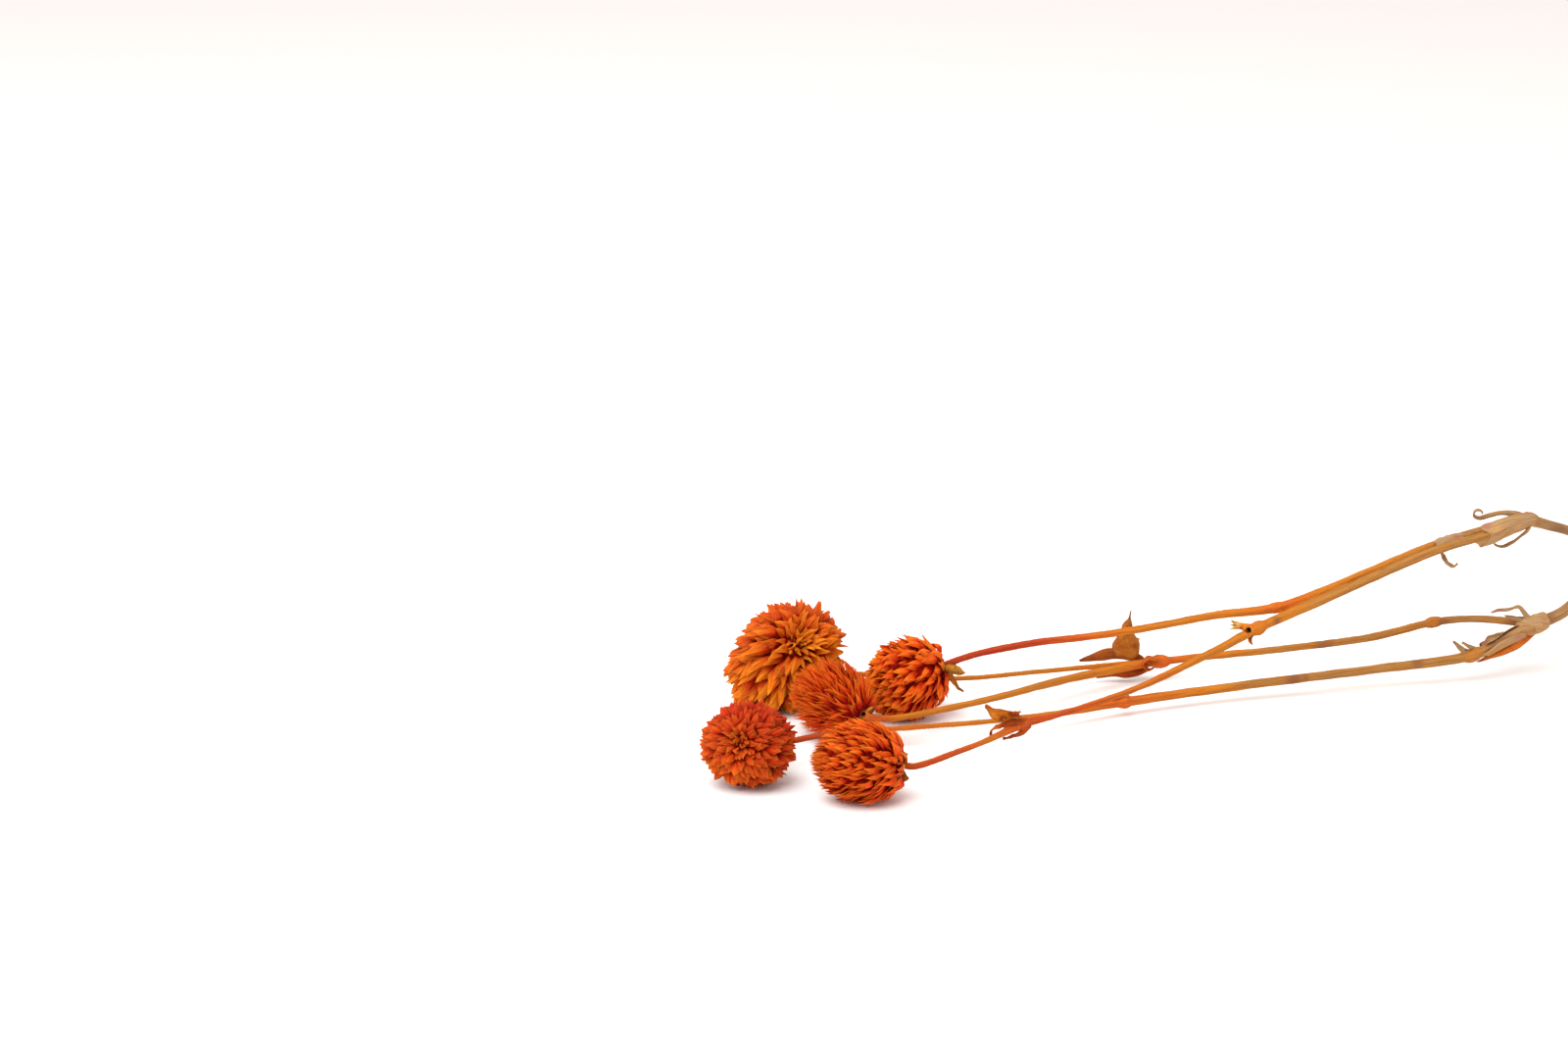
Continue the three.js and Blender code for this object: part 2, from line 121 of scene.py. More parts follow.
# Each flower head: middle, direction from base to top, half length and half width, and the core's
# share of them. seat is where the collar sits, as a share of the half length. A bract leans from the
# axis by flare, plus open times the angle of its own place. fold is the depth of its keel, arch its
# outward bow, hook the lift of its tip, shoulder the place where it is widest, taper how slender its
# point is, and strands the share that are threadlike. last is the angle of the lowest bracts from
# the axis, in degrees. A negative fold and arch turn the keels of bracts that lean right over. ruddy
# points to the side that is redder and darker, and is longer the more it is. bulges are the sides on
# which a head is drawn out, or in, and by how many millimetres.
HEADS = {
    "front": dict(
        centre=(1.3, 1.2, 9.2), axis=(-0.99, -0.06, 0.1), long=12.3, wide=9.6, seat=0.74, core=0.76,
        last=174, bracts=580, width=1.8, flare=0.14, open=0.38, sway=0.7, spread=0.46,
        fold=0.36, arch=0.34, hook=0.12, shoulder=0.4, taper=0.95, strands=0.2,
        ruddy=(0.0, 0.0, -0.3), seed=11,
    ),
    "front_left": dict(
        centre=(-24.2, 12.1, 9.9), axis=(-0.3, -0.88, 0.36), long=10.4, wide=10.4, seat=0.68, core=0.74,
        last=168, bracts=520, width=2.3, flare=0.74, open=0.64, sway=1.0, spread=0.75,
        fold=-0.4, arch=-0.22, hook=0.0, shoulder=0.56, taper=0.75, strands=0.08,
        ruddy=(0.35, 0.45, 0.75), bulges=(((-1, 0, 0), 1.5), ((1, 0, 0), 1.2)), seed=23,
    ),
    "middle": dict(
        centre=(-4.4, 46.0, 9.6), axis=(-0.72, 0.62, 0.3), long=12.2, wide=9.5, seat=0.74, core=0.76,
        last=156, bracts=1120, width=1.3, flare=0.14, open=0.42, sway=1.2, spread=0.75,
        fold=0.42, arch=0.3, hook=0.1, shoulder=0.36, taper=1.05, strands=0.45,
        ruddy=(0.2, 0.2, -0.4), seed=37,
    ),
    "back_right": dict(
        centre=(13.6, 61.2, 9.6), axis=(-0.93, -0.1, -0.34), long=11.6, wide=9.8, seat=0.74, core=0.76,
        last=174, bracts=420, width=2.3, flare=0.12, open=0.38, sway=0.6, spread=0.42,
        fold=0.36, arch=0.34, hook=0.15, shoulder=0.42, taper=0.9, strands=0.1,
        ruddy=(0.2, 0.0, -0.2), seed=41,
    ),
    "back_left": dict(
        centre=(-15.2, 71.4, 12.8), axis=(0.25, -0.8, 0.54), long=14.6, wide=13.8, seat=0.66, core=0.72,
        last=168, bracts=480, width=2.9, flare=1.0, open=0.7, sway=0.7, spread=0.5,
        fold=-0.34, arch=-0.34, hook=0.0, shoulder=0.5, taper=0.72, strands=0.1,
        ruddy=(-0.2, 0.5, 0.5), bulges=(((-0.8, -0.4, -0.45), 3.6), ((-0.6, 0, 0.8), -1.8)), seed=59,
    ),
}

# The core that shows is a little smaller than the one that the bracts stand on, and both are blunt at
# the base. The spiral is crowded at the top, where bracts are small up to the top angle, in radians.
CORE_SHRINK = 0.93
BASE_BLUNTNESS = 0.3
LUMPS_A_METRE = 90.0
TOP_CROWDING = 1.3
TOP_ANGLE = 0.75

# The pair of leafy bracts under each head: turn about its axis in degrees, length and half width,
# how far back they sweep, and how much they cup.
LEAFY_BRACTS = {
    "front": ((285, 4.6, 2.0, -0.08, 1.0), (75, 3.6, 1.5, -0.05, 0.9)),
    "front_left": ((60, 5.0, 1.4, 0.9, 1.0), (235, 5.6, 1.5, 1.1, 0.9)),
    "middle": ((100, 4.6, 1.2, 0.5, 1.0), (285, 4.8, 1.3, 0.5, 0.9)),
    "back_right": ((335, 5.4, 2.1, 1.1, 1.9), (285, 8.6, 2.1, 0.4, 0.8)),
    "back_left": ((20, 6.0, 1.6, 0.9, 1.0), (165, 6.0, 1.6, 1.1, 0.9)),
}

# Their line: share of the length outwards, and share of the sweep backwards.
LEAFY_BRACT_LINE = ((0.0, 0.0), (0.3, 0.12), (0.6, 0.35), (0.8, 0.75))

# Joints of the stem.
LOWEST_FORK = (195.9, 118, 26)
HIGH_JOINT = (170.2, 103.2, 38)
LOW_FORK = (171.4, 94.4, 13)
HOLLOW_JOINT = (98.7, 63.2, 22)
FAINT_JOINT = (103.9, 70.4, 25)
FRONT_JOINT = (39.4, 19.2, 12.3)
PEELED_JOINT = (155.6, 89, 7)
RED_JOINT = (66.7, 62.4, 3.4)
THIN_JOINT = (147.5, 103.2, 11)
BACK_JOINT = (77.8, 90.4, 4.8)
BROKEN_JOINT = (5.2, 38.8, 6.9)

# The stem's lengths through stations of (place, radius, tone). Tone runs from 0, grey-tan bark,
# through 0.4, ochre, and 0.7, orange, to 1, dark red. A length that carries a head names it.
STEM_LENGTHS = (
    (None, (
        ((312, 185.5, 2.1), 2.3, 0.05), ((296, 176, 2.2), 2.3, 0.05), ((270, 161, 8), 2.3, 0.1),
        ((232, 139, 18.5), 2.2, 0.12), (LOWEST_FORK, 2.4, 0.25),
    )),
    (None, ((LOWEST_FORK, 1.7, 0.1), ((181, 109.4, 33.5), 1.2, 0.02), (HIGH_JOINT, 1.5, 0.1))),
    ("back_right", (
        (HIGH_JOINT, 1.3, 0.1), ((157.8, 99.6, 36), 1.2, 0.2), ((145, 95.9, 33), 1.2, 0.34),
        ((117.3, 77.4, 27.5), 1.15, 0.5), (FAINT_JOINT, 1.2, 0.62), ((89.4, 72.2, 22.5), 1.0, 0.44),
        ((74.7, 69.6, 20.5), 0.95, 0.46), ((60, 68.9, 18.3), 0.92, 0.62),
        ((46.1, 69.3, 16.5), 0.9, 0.92), ((36, 67.6, 15.2), 0.85, 0.97), ((29.6, 65.4, 14.4), 0.8, 0.97),
    )),
    ("front", (
        (HIGH_JOINT, 1.3, 0.1), ((157.8, 93.8, 36.5), 1.1, 0.26), ((145.2, 89, 34), 1.1, 0.31),
        ((114, 72.9, 25.5), 1.1, 0.33), (HOLLOW_JOINT, 1.2, 0.5), ((87.4, 51.5, 20), 1.0, 0.44),
        ((67.2, 33.5, 16.5), 0.8, 0.55), ((47.9, 22.4, 13.5), 0.65, 0.85), (FRONT_JOINT, 1.1, 0.88),
        ((31.2, 11, 11.3), 0.7, 0.55), ((23.3, 4.2, 10.5), 0.7, 0.82),
    )),
    (None, ((LOWEST_FORK, 1.9, 0.1), ((181, 102, 15), 1.5, 0.08), (LOW_FORK, 1.5, 0.05))),
    ("front_left", (
        (LOW_FORK, 1.4, 0.02), (PEELED_JOINT, 1.3, 0.25), ((129.8, 83.3, 5), 1.1, 0.27),
        ((97.3, 74.3, 3.8), 1.1, 0.33), (RED_JOINT, 1.2, 0.7), ((50.1, 53.1, 3.6), 0.8, 0.44),
        ((33.4, 45.5, 4.2), 0.65, 0.46), ((8.1, 37, 5.0), 0.65, 0.6), ((-5, 31.5, 5.8), 0.7, 0.85),
    )),
    ("middle", (
        (LOW_FORK, 1.2, 0.3), ((165.8, 97.7, 13), 1.0, 0.25), ((156.4, 101.6, 12.5), 0.9, 0.2),
        (THIN_JOINT, 1.0, 0.35), ((131.7, 98.8, 8.5), 1.0, 0.28), ((106.8, 96.1, 6), 0.9, 0.34),
        (BACK_JOINT, 1.0, 0.72), ((64.9, 83.7, 4.6), 1.1, 0.45), ((51.3, 73.9, 5), 1.0, 0.42),
        ((36.2, 60.1, 5.5), 0.85, 0.42), ((18.4, 46, 6.2), 0.8, 0.45), ((10, 41, 6.4), 0.8, 0.55),
        (BROKEN_JOINT, 0.9, 0.8),
    )),
    ("back_left", (
        (BACK_JOINT, 0.9, 0.6), ((57.5, 86.4, 4.4), 0.65, 0.5), ((42, 81.2, 4.6), 0.65, 0.45),
        ((27.5, 78, 4.4), 0.65, 0.45), ((5, 84.5, 3.2), 0.7, 0.6),
    )),
)

# A stalk's radius at its head, and the length of its straight end.
STALK_RADIUS = 0.8
STALK_STRAIGHT = 2.0

# Swellings at the joints: place, direction, half length and radius.
SWELLINGS = (
    (LOWEST_FORK, (0.8, 0.5, 0), 4.5, 3.1), (HIGH_JOINT, (0.86, 0.5, -0.1), 3.4, 2.0),
    (FAINT_JOINT, (1, 0.1, 0.2), 2.6, 1.45), (HOLLOW_JOINT, (0.8, 0.5, 0.2), 2.8, 1.8),
    (FRONT_JOINT, (0.8, 0.5, 0.2), 2.4, 1.5), (LOW_FORK, (0.6, 0.6, 0.4), 3.4, 2.0),
    (PEELED_JOINT, (0.8, 0.3, 0.3), 3.2, 1.8), (RED_JOINT, (0.85, 0.5, 0), 2.4, 1.7),
    (THIN_JOINT, (1, 0, 0.2), 2.6, 1.5), (BACK_JOINT, (1, 0.2, 0), 3, 1.8),
    (BROKEN_JOINT, (0.7, 0.4, 0), 1.6, 1.3),
)

# Stubs where side branches were cut: joint, end and radius. Each is hollow at its end, and the
# first is cut fresh, pale and frayed.
STUBS = (
    (HOLLOW_JOINT, (93.2, 62.0, 23.2), 1.0), (HOLLOW_JOINT, (96.2, 60.2, 22.4), 1.1),
    (FRONT_JOINT, (35.4, 18.4, 13.0), 0.8), (BROKEN_JOINT, (2.6, 35.4, 9.4), 1.0),
)
# A bore's radius and depth and a stub's end are shares of the stub's radius. The pale cut reaches as
# many millimetres from the fresh stub's end, and the foot's cut face is as many deep.
STUB_BORE_SHARE = 0.7
STUB_BORE_DEPTH = 1.6
STUB_END_SHARE = 0.94
CUT_REACH = 1.3
FOOT_FACE = 0.15

# Purplish stains on the bark: place, and half length in millimetres.
STAINS = (
    ((109.5, 78.0, 4.3), 4.0), ((112.5, 78.6, 4.4), 2.0), ((119.2, 97.5, 7.2), 4.5),
    ((141, 85.7, 5.8), 3.0), ((103.5, 66.0, 22.8), 2.2), ((162, 91.2, 9.6), 5.5),
    ((168, 98.5, 13.2), 5.0), ((178, 108, 33), 6.0), ((150, 102.4, 11.4), 2.5),
    ((88, 71.5, 3.7), 1.5), ((135, 84.6, 5.3), 1.6), ((174, 97, 13.8), 5.0),
    ((184, 104.5, 17.5), 7.0), ((190, 114, 31), 6.0), ((154, 94, 36.5), 3.0), ((131, 83.2, 31), 2.2),
)

# Dry blades: line of places, half widths along it, direction across, how far the sides roll over in
# radians, how deeply they crumple in millimetres, how ragged the ends are, how far it has turned
# from orange to dark red, and its seed. A blade with a wrap has that radius round its line instead
# of half widths.
LEAVES = {
    "leaf_front_curled": dict(
        line=((37.4, 18.6, 14.1), (35.8, 17.2, 15.4), (33.1, 16.5, 16.6), (30.6, 16.4, 18)),
        half_widths=(0.5, 1.2, 2.1, 2.7, 2.4, 1.6, 0.6), across=(0.5, 0.3, -0.8), roll=1.5,
        crumple=0.6, ragged=0.04, seed=3,
    ),
    "leaf_back_standing": dict(
        line=((71.4, 89.4, 6), (69.8, 89.0, 9.2), (69.6, 89.4, 13.6), (70.2, 90.2, 18.2)),
        half_widths=(2.6, 6.5, 6.7, 4.0, 2.6, 1.8, 0.4, 0.12), across=(1, 0.2, 0), roll=1.7,
        crumple=1.2, ragged=0.04, rust=0.3, seed=5,
    ),
    "leaf_back_lying": dict(
        line=((73.9, 91.1, 5.4), (69.0, 92.6, 6.6), (63.4, 93.2, 6.2), (57.6, 93.0, 4.2)),
        half_widths=(0.8, 2.3, 2.8, 2.6, 1.6, 0.2), across=(0, 0.7, 0.8), roll=2.0,
        crumple=0.9, ragged=0.05, rust=0.5, seed=8,
    ),
}
BARK_STRIPS = (
    dict(line=((170.6, 103.2, 38.9), (167.3, 102.5, 39.9), (164, 102, 40.5), (160.9, 101, 40.3),
               (158.5, 100, 39.8), (157, 99.5, 39.7), (155.9, 99.2, 40.6), (156.5, 99, 41.6),
               (157.7, 98.8, 41.5), (158, 98.6, 40.7)),
         half_widths=(1.0, 1.3, 1.1, 0.9, 0.8, 0.6, 0.5), across=(0.1, 0.9, 0.4), roll=1.2,
         crumple=0.35, ragged=0.02, seed=21),
    dict(line=((170.8, 102.5, 38.2), (170.2, 101.5, 36.5), (168.2, 100.5, 34.7), (165.4, 99.5, 33.2),
               (163.1, 99, 32.3), (161.1, 98.6, 33.2), (162.2, 98.4, 34.3)),
         half_widths=(0.8, 0.9, 0.7, 0.8, 0.6, 0.4), across=(0.2, 0.9, 0.3), roll=1.5,
         crumple=0.3, ragged=0.02, seed=22),
    dict(line=((146.7, 91.0, 33.4), (147.2, 90.4, 31.6), (148.4, 90, 30.2), (150.1, 89.8, 29.5),
               (151.0, 89.6, 30.5)),
         half_widths=(0.8, 1.0, 0.9, 0.5), across=(0.3, 0.9, 0.2), roll=1.4, crumple=0.3,
         ragged=0.03, seed=23),
    dict(line=((155.4, 89.0, 7.0), (153.2, 88.0, 8.3), (151.1, 87.5, 10.3), (150.2, 87.0, 11.2)),
         half_widths=(1.2, 1.1, 0.8, 0.3), across=(0.6, 0.2, 0.7), roll=1.5, crumple=0.4,
         ragged=0.1, seed=24),
    dict(line=((156.6, 89.6, 8.2), (154.6, 88.0, 9.4), (152.5, 87.6, 10.8)),
         half_widths=(0.9, 0.8, 0.3), across=(0.6, 0.6, 0.4), roll=1.5, crumple=0.4, ragged=0.1,
         seed=25),
    dict(line=((158, 90.4, 8.4), (160.6, 91, 10.6), (163.6, 92.6, 11.8)),
         half_widths=(0.9, 1.3, 0.9, 0.3), across=(0.3, 0.6, 0.7), roll=1.5, crumple=0.4,
         ragged=0.1, seed=26),
    dict(line=((172.2, 95, 13.6), (170, 94.5, 15.5), (167.4, 94, 18.1), (164.9, 93.6, 17.7),
               (161.9, 93.2, 17.5), (160.2, 93, 16.7)),
         half_widths=(1.1, 1.3, 1.0, 0.8, 0.4), across=(0.3, 0.9, 0.2), roll=1.3, crumple=0.4,
         ragged=0.03, seed=27),
    dict(line=((171.7, 95, 13), (170.1, 94.6, 14.0), (166.8, 94.2, 15.1), (163.8, 94, 15.7)),
         half_widths=(1.0, 1.1, 0.9, 0.3), across=(0.3, 0.8, 0.5), roll=1.5, crumple=0.4,
         ragged=0.1, seed=28),
    dict(line=((171.6, 104, 38.2), (166.5, 101, 37.6), (160.5, 97.4, 36.7), (156, 95.6, 36)),
         wrap=(1.9, 2.3, 2.9, 3.3), across=(0.4, -0.7, 0.5), roll=2.5, crumple=0.3, ragged=0.16,
         seed=29),
    dict(line=((153.2, 98.2, 35.0), (149.2, 97.2, 34.2), (145.4, 96, 33.1)),
         wrap=(1.45, 1.6, 2.0), across=(0.4, -0.7, 0.5), roll=2.6, crumple=0.35, ragged=0.2, seed=30),
    dict(line=((158.2, 89.9, 8.0), (163.5, 91.7, 10.0), (169, 93.6, 12.1)),
         wrap=(1.9, 1.75, 1.8), across=(0.4, 0.7, 0.5), roll=2.5, crumple=0.25, ragged=0.14, seed=31),
    dict(line=((174.5, 96.8, 13.6), (171.4, 94.6, 13.1), (167.2, 96, 13.2)),
         wrap=(2.2, 2.5, 1.7), across=(0.4, 0.7, 0.5), roll=2.4, crumple=0.35, ragged=0.2, seed=32),
)

# Scraps of dry leaf at the joints, in the leaves' own colours.
LEAF_SCRAPS = (
    dict(line=((34.4, 15.6, 13.0), (33.2, 14.9, 13.2), (32.0, 14.7, 12.5), (31.8, 14.6, 11.3),
               (32.7, 14.6, 10.6), (34.0, 15.0, 11.0)),
         half_widths=(0.8, 0.8, 0.7, 0.6, 0.3), across=(0.45, 0.75, 0.4), roll=0.8, crumple=0.15,
         rust=0.5, seed=41),
    dict(line=((40.3, 18.6, 13.6), (37.7, 17.0, 13.5), (34.9, 16.0, 13.2), (32.9, 15.4, 13.1)),
         half_widths=(0.7, 1.3, 1.5, 1.1, 0.4), across=(0.3, 0.3, 0.9), roll=2.0, crumple=0.7,
         ragged=0.05, rust=0.9, seed=42),
    dict(line=((41.5, 19.6, 12.0), (38.7, 17.4, 11.0), (36.8, 16.6, 10.3), (34.7, 15.4, 10.2)),
         half_widths=(0.7, 1.0, 0.9, 0.5), across=(0.3, 0.9, 0.4), roll=1.8, crumple=0.6,
         ragged=0.05, rust=0.8, seed=43),
    dict(line=((38.6, 18.4, 14.4), (37.9, 17.4, 15.5), (37.2, 16.9, 15.9), (36.4, 16.8, 15.4)),
         half_widths=(0.8, 1.7, 1.5, 0.8), across=(0.4, 0.4, -0.7), roll=2.1, crumple=0.5,
         ragged=0.05, rust=0.45, seed=49),
    dict(line=((77.4, 89.0, 5.8), (74.6, 88.0, 6.9), (73.2, 87.4, 5.4), (74.2, 87.0, 3.4),
               (76.1, 87, 4.2)),
         half_widths=(0.9, 1.3, 1.2, 0.9, 0.3), across=(0.2, 0.9, 0.2), roll=1.3, crumple=0.5,
         ragged=0.04, rust=0.5, seed=44),
    dict(line=((75.0, 89, 3.4), (68.9, 88.4, 2.4), (65.6, 88.8, 2.2), (61.5, 89, 1.0)),
         half_widths=(0.8, 1.5, 1.2, 0.9, 0.2), across=(0, 0.5, 0.8), roll=0.9, crumple=0.7,
         ragged=0.05, rust=0.9, seed=45),
    dict(line=((173.5, 95.4, 12.2), (168.5, 93.2, 9.8), (163, 90.8, 7.3), (156.5, 88.4, 5.2)),
         half_widths=(0.5, 1.6, 2.2, 1.9, 1.0, 0.1), across=(0, 0.3, 1), roll=0.9, crumple=0.6,
         ragged=0.05, rust=0.35, seed=46),
    dict(line=((67.8, 62.6, 4.6), (65.6, 61.4, 5.1), (63.6, 60.4, 4.6)),
         half_widths=(0.9, 0.9, 0.3), across=(0.3, -0.7, 0.6), roll=1.5, crumple=0.3,
         ragged=0.15, seed=47),
    dict(line=((97.4, 61.6, 21.0), (96.8, 60.8, 19.7), (97.4, 60.4, 18.7)),
         half_widths=(0.9, 0.7, 0.2), across=(0.8, -0.5, 0.2), roll=1.0, crumple=0.4,
         ragged=0.3, seed=48),
)

# The torn fibres of the fresh stub. Then the hairs: the radii of root and tip and the height of the
# middle, as shares of a hair's length, and the square centimetres in a square metre.
FRAYED_FIBRES = 9
FRAYED_SEED = 61
FIRST_FIBRE_SEED = 70
HAIR_SEED = 7
HAIR_ROOT = 0.07
HAIR_TIP = 0.01
HAIR_RISE = 0.45
SQUARE_CENTIMETRES = 1e4

# The collar under a head, from its stalk up: place along the axis and radius, in millimetres.
COLLAR_PROFILE = ((-0.5, 0.7), (-0.25, 1.25), (0.1, 1.6), (0.5, 1.55))
LEAFY_BRACT_WIDTHS = (0.5, 1.25, 1.4, 1.15, 0.7, 0.1)

# ---- Places and lines --------------------------------------------------------------------------


def at(place):
    """A place from the tables as a point of the scene."""
    return (Vector(place) - ORIGIN) * MM


def spline(places, step):
    """Points about step apart on a smooth line through places, each with its share of the way
    counted in stations: 2.5 is halfway from the third to the fourth."""
    ends = [2 * places[0] - places[1], *places, 2 * places[-1] - places[-2]]
    found = []
    for span in range(len(places) - 1):
        p0, p1, p2, p3 = ends[span:span + 4]
        d0, d1, d2 = (math.sqrt((b - a).length) for a, b in ((p0, p1), (p1, p2), (p2, p3)))
        leave = ((p1 - p0) / d0 - (p2 - p0) / (d0 + d1) + (p2 - p1) / d1) * d1
        arrive = ((p2 - p1) / d1 - (p3 - p1) / (d1 + d2) + (p3 - p2) / d2) * d1
        steps = max(1, round((p2 - p1).length / step))
        for index in range(steps):
            t = index / steps
            found.append((
                p1 + leave * t + (3 * (p2 - p1) - 2 * leave - arrive) * t ** 2
                + (2 * (p1 - p2) + leave + arrive) * t ** 3,
                span + t,
            ))
    found.append((places[-1], len(places) - 1.0))
    return found


def between(values, share):
    """The value at a share of the way through a row of values, both ends included."""
    place = min(max(share, 0.0), 1.0) * (len(values) - 1)
    index = min(int(place), len(values) - 2)
    return values[index] + (values[index + 1] - values[index]) * (place - index)


def head_axes(head):
    """Middle of a head, and its directions along the axis and two across."""
    along = Vector(head["axis"]).normalized()
    side = Vector((0, 0, 1)).cross(along).normalized()
    return at(head["centre"]), along, side, along.cross(side)


def collar_place(head):
    """The middle of the collar that the leafy bracts grow from."""
    centre, along, _, _ = head_axes(head)
    return centre - along * (head["seat"] * head["long"] + COLLAR_REACH) * MM


# ---- Meshes and objects ------------------------------------------------------------------------


def object_of(name, data):
    """A new object in the scene that shows a mesh, a light or a camera."""
    piece = bpy.data.objects.new(name, data)
    bpy.context.scene.collection.objects.link(piece)
    return piece


def mesh_of(name, bm, clean=True):
    """A mesh from a bmesh, its doubles merged and its faces turned out."""
    if clean:
        bmesh.ops.remove_doubles(bm, verts=bm.verts, dist=MERGE_REACH)
        bmesh.ops.recalc_face_normals(bm, faces=bm.faces)
    mesh = bpy.data.meshes.new(name)
    bm.to_mesh(mesh)
    bm.free()
    return mesh


def settled(piece):
    """The object with its modifiers made part of a plain mesh."""
    graph = bpy.context.evaluated_depsgraph_get()
    mesh = bpy.data.meshes.new_from_object(piece.evaluated_get(graph))
    piece.modifiers.clear()
    old = piece.data
    piece.data = mesh
    mesh.name = piece.name
    bpy.data.meshes.remove(old)
    return piece


def finished(piece, slot, *nodes):
    """Hands a piece over to the frame: what it rides on and stands for. slot is not used."""
    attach(piece, BODY)
    if nodes:
        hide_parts(*nodes)


def set_numbers(mesh, name, values, kind="FLOAT"):
    """Keeps one number or one vector for each point of a mesh under a name."""
    layer = mesh.attributes.new(name, kind, "POINT")
    part = "value" if kind == "FLOAT" else "vector"
    layer.data.foreach_set(part, np.ravel(values).astype(np.float32))


def smooth(mesh, crease=None):
    """Shades a mesh smooth, apart from the edges that turn by more than the crease."""
    mesh.polygons.foreach_set("use_smooth", [True] * len(mesh.polygons))
    if crease is not None:
        mesh.set_sharp_from_angle(angle=crease)


def dress(mesh, material):
    """Gives a mesh one material in place of what it had."""
    mesh.materials.clear()
    mesh.materials.append(material)


def directions(points):
    """At each point of a line: the way along it, and two ways across that turn as little as may be."""
    across = Vector((0.1, 0, 1))
    for index in range(len(points)):
        before = points[max(index - 1, 0)]
        after = points[min(index + 1, len(points) - 1)]
        along = (after - before).normalized()
        across = (across - along * across.dot(along)).normalized()
        yield along, across, along.cross(across)


def join_rings(bm, rings):
    """Faces between each ring of points and the next, and one that closes the first ring."""
    for ring, following in zip(rings, rings[1:]):
        for side in range(len(ring)):
            bm.faces.new((ring[side - 1], ring[side], following[side], following[side - 1]))
    bm.faces.new(reversed(rings[0]))


def add_tube(bm, line, sides=STEM_SIDES):
    """Adds a closed round tube along a line of (point, radius)."""
    turns = [2 * math.pi * side / sides for side in range(sides)]
    rings = []
    for (point, radius), (_, across, other) in zip(line, directions([point for point, _ in line])):
        rings.append([
            bm.verts.new(point + radius * (math.cos(turn) * across + math.sin(turn) * other))
            for turn in turns
        ])
    join_rings(bm, rings)
    bm.faces.new(rings[-1])


def add_ball(bm, centre, direction, half_length, radius, rings=10, sides=14):
    """Adds a ball stretched along a direction."""
    turn = Vector((0, 0, 1)).rotation_difference(Vector(direction)).to_matrix().to_4x4()
    size = Matrix.Diagonal((radius, radius, half_length, 1))
    bmesh.ops.create_uvsphere(
        bm, u_segments=sides, v_segments=rings, radius=1.0,
        matrix=Matrix.Translation(centre) @ turn @ size,
    )


# ---- Node trees --------------------------------------------------------------------------------


class Wire:
    """A socket that gives a number, a vector or a colour. Python's operators add Math nodes to it."""

    def __init__(self, tree, socket):
        self.tree = tree
        self.socket = socket

    def math(self, operation, *others):
        """A Math node with this value first."""
        return self.tree.add("ShaderNodeMath", {"operation": operation}, (self, *others))

    def __add__(self, other):
        return self.math("ADD", other)

    def __radd__(self, other):
        return self.math("ADD", other)

    def __sub__(self, other):
        return self.math("SUBTRACT", other)

    def __rsub__(self, other):
        return self.tree.add("ShaderNodeMath", {"operation": "SUBTRACT"}, (other, self))

    def __mul__(self, other):
        return self.math("MULTIPLY", other)

    def __rmul__(self, other):
        return self.math("MULTIPLY", other)

    def __truediv__(self, other):
        return self.math("DIVIDE", other)

    def __pow__(self, other):
        return self.math("POWER", other)

    def __abs__(self):
        return self.math("ABSOLUTE")

    def sin(self):
        """The sine of this value."""
        return self.math("SINE")

    def cos(self):
        """The cosine of this value."""
        return self.math("COSINE")

    def step(self, low, high):
        """0 below low, 1 above high and smooth between."""
        return self.tree.add(
            "ShaderNodeMapRange", {"interpolation_type": "SMOOTHSTEP"}, {0: self, 1: low, 2: high}
        )


class Nodes:
    """A node tree that is built in code."""

    def __init__(self, tree):
        self.tree = tree

    def add(self, kind, settings=None, inputs=(), output=0):
        """A node of that kind, its settings made first and then its sockets filled or linked."""
        node = self.tree.nodes.new(kind)
        for name, value in (settings or {}).items():
            if name == "stops":
                self._fill_ramp(node.color_ramp, value)
            else:
                setattr(node, name, value)
        pairs = inputs.items() if isinstance(inputs, dict) else enumerate(inputs)
        for key, value in pairs:
            if isinstance(value, Wire):
                self.tree.links.new(value.socket, node.inputs[key])
            else:
                node.inputs[key].default_value = value
        return Wire(self, node.outputs[output]) if len(node.outputs) else node

    @staticmethod
    def _fill_ramp(ramp, stops):
        """Gives a ramp its stops of (place, colour)."""
        while len(ramp.elements) < len(stops):
            ramp.elements.new(1.0)
        for element, (place, colour) in zip(ramp.elements, stops):
            element.position = place
            element.color = (*colour, 1.0)

    def vector(self, x, y, z):
        """A vector from three numbers."""
        return self.add("ShaderNodeCombineXYZ", None, (x, y, z))

    def vectors(self, operation, first, second, output=0):
        """A Vector Math node on two vectors. Its output 1 is a number."""
        return self.add("ShaderNodeVectorMath", {"operation": operation}, (first, second), output)

    def drawn(self, low, high, seed):
        """A number drawn for each point or face."""
        return self.add("FunctionNodeRandomValue", {"data_type": "FLOAT"},
                        {2: low, 3: high, 8: seed}, output=1)


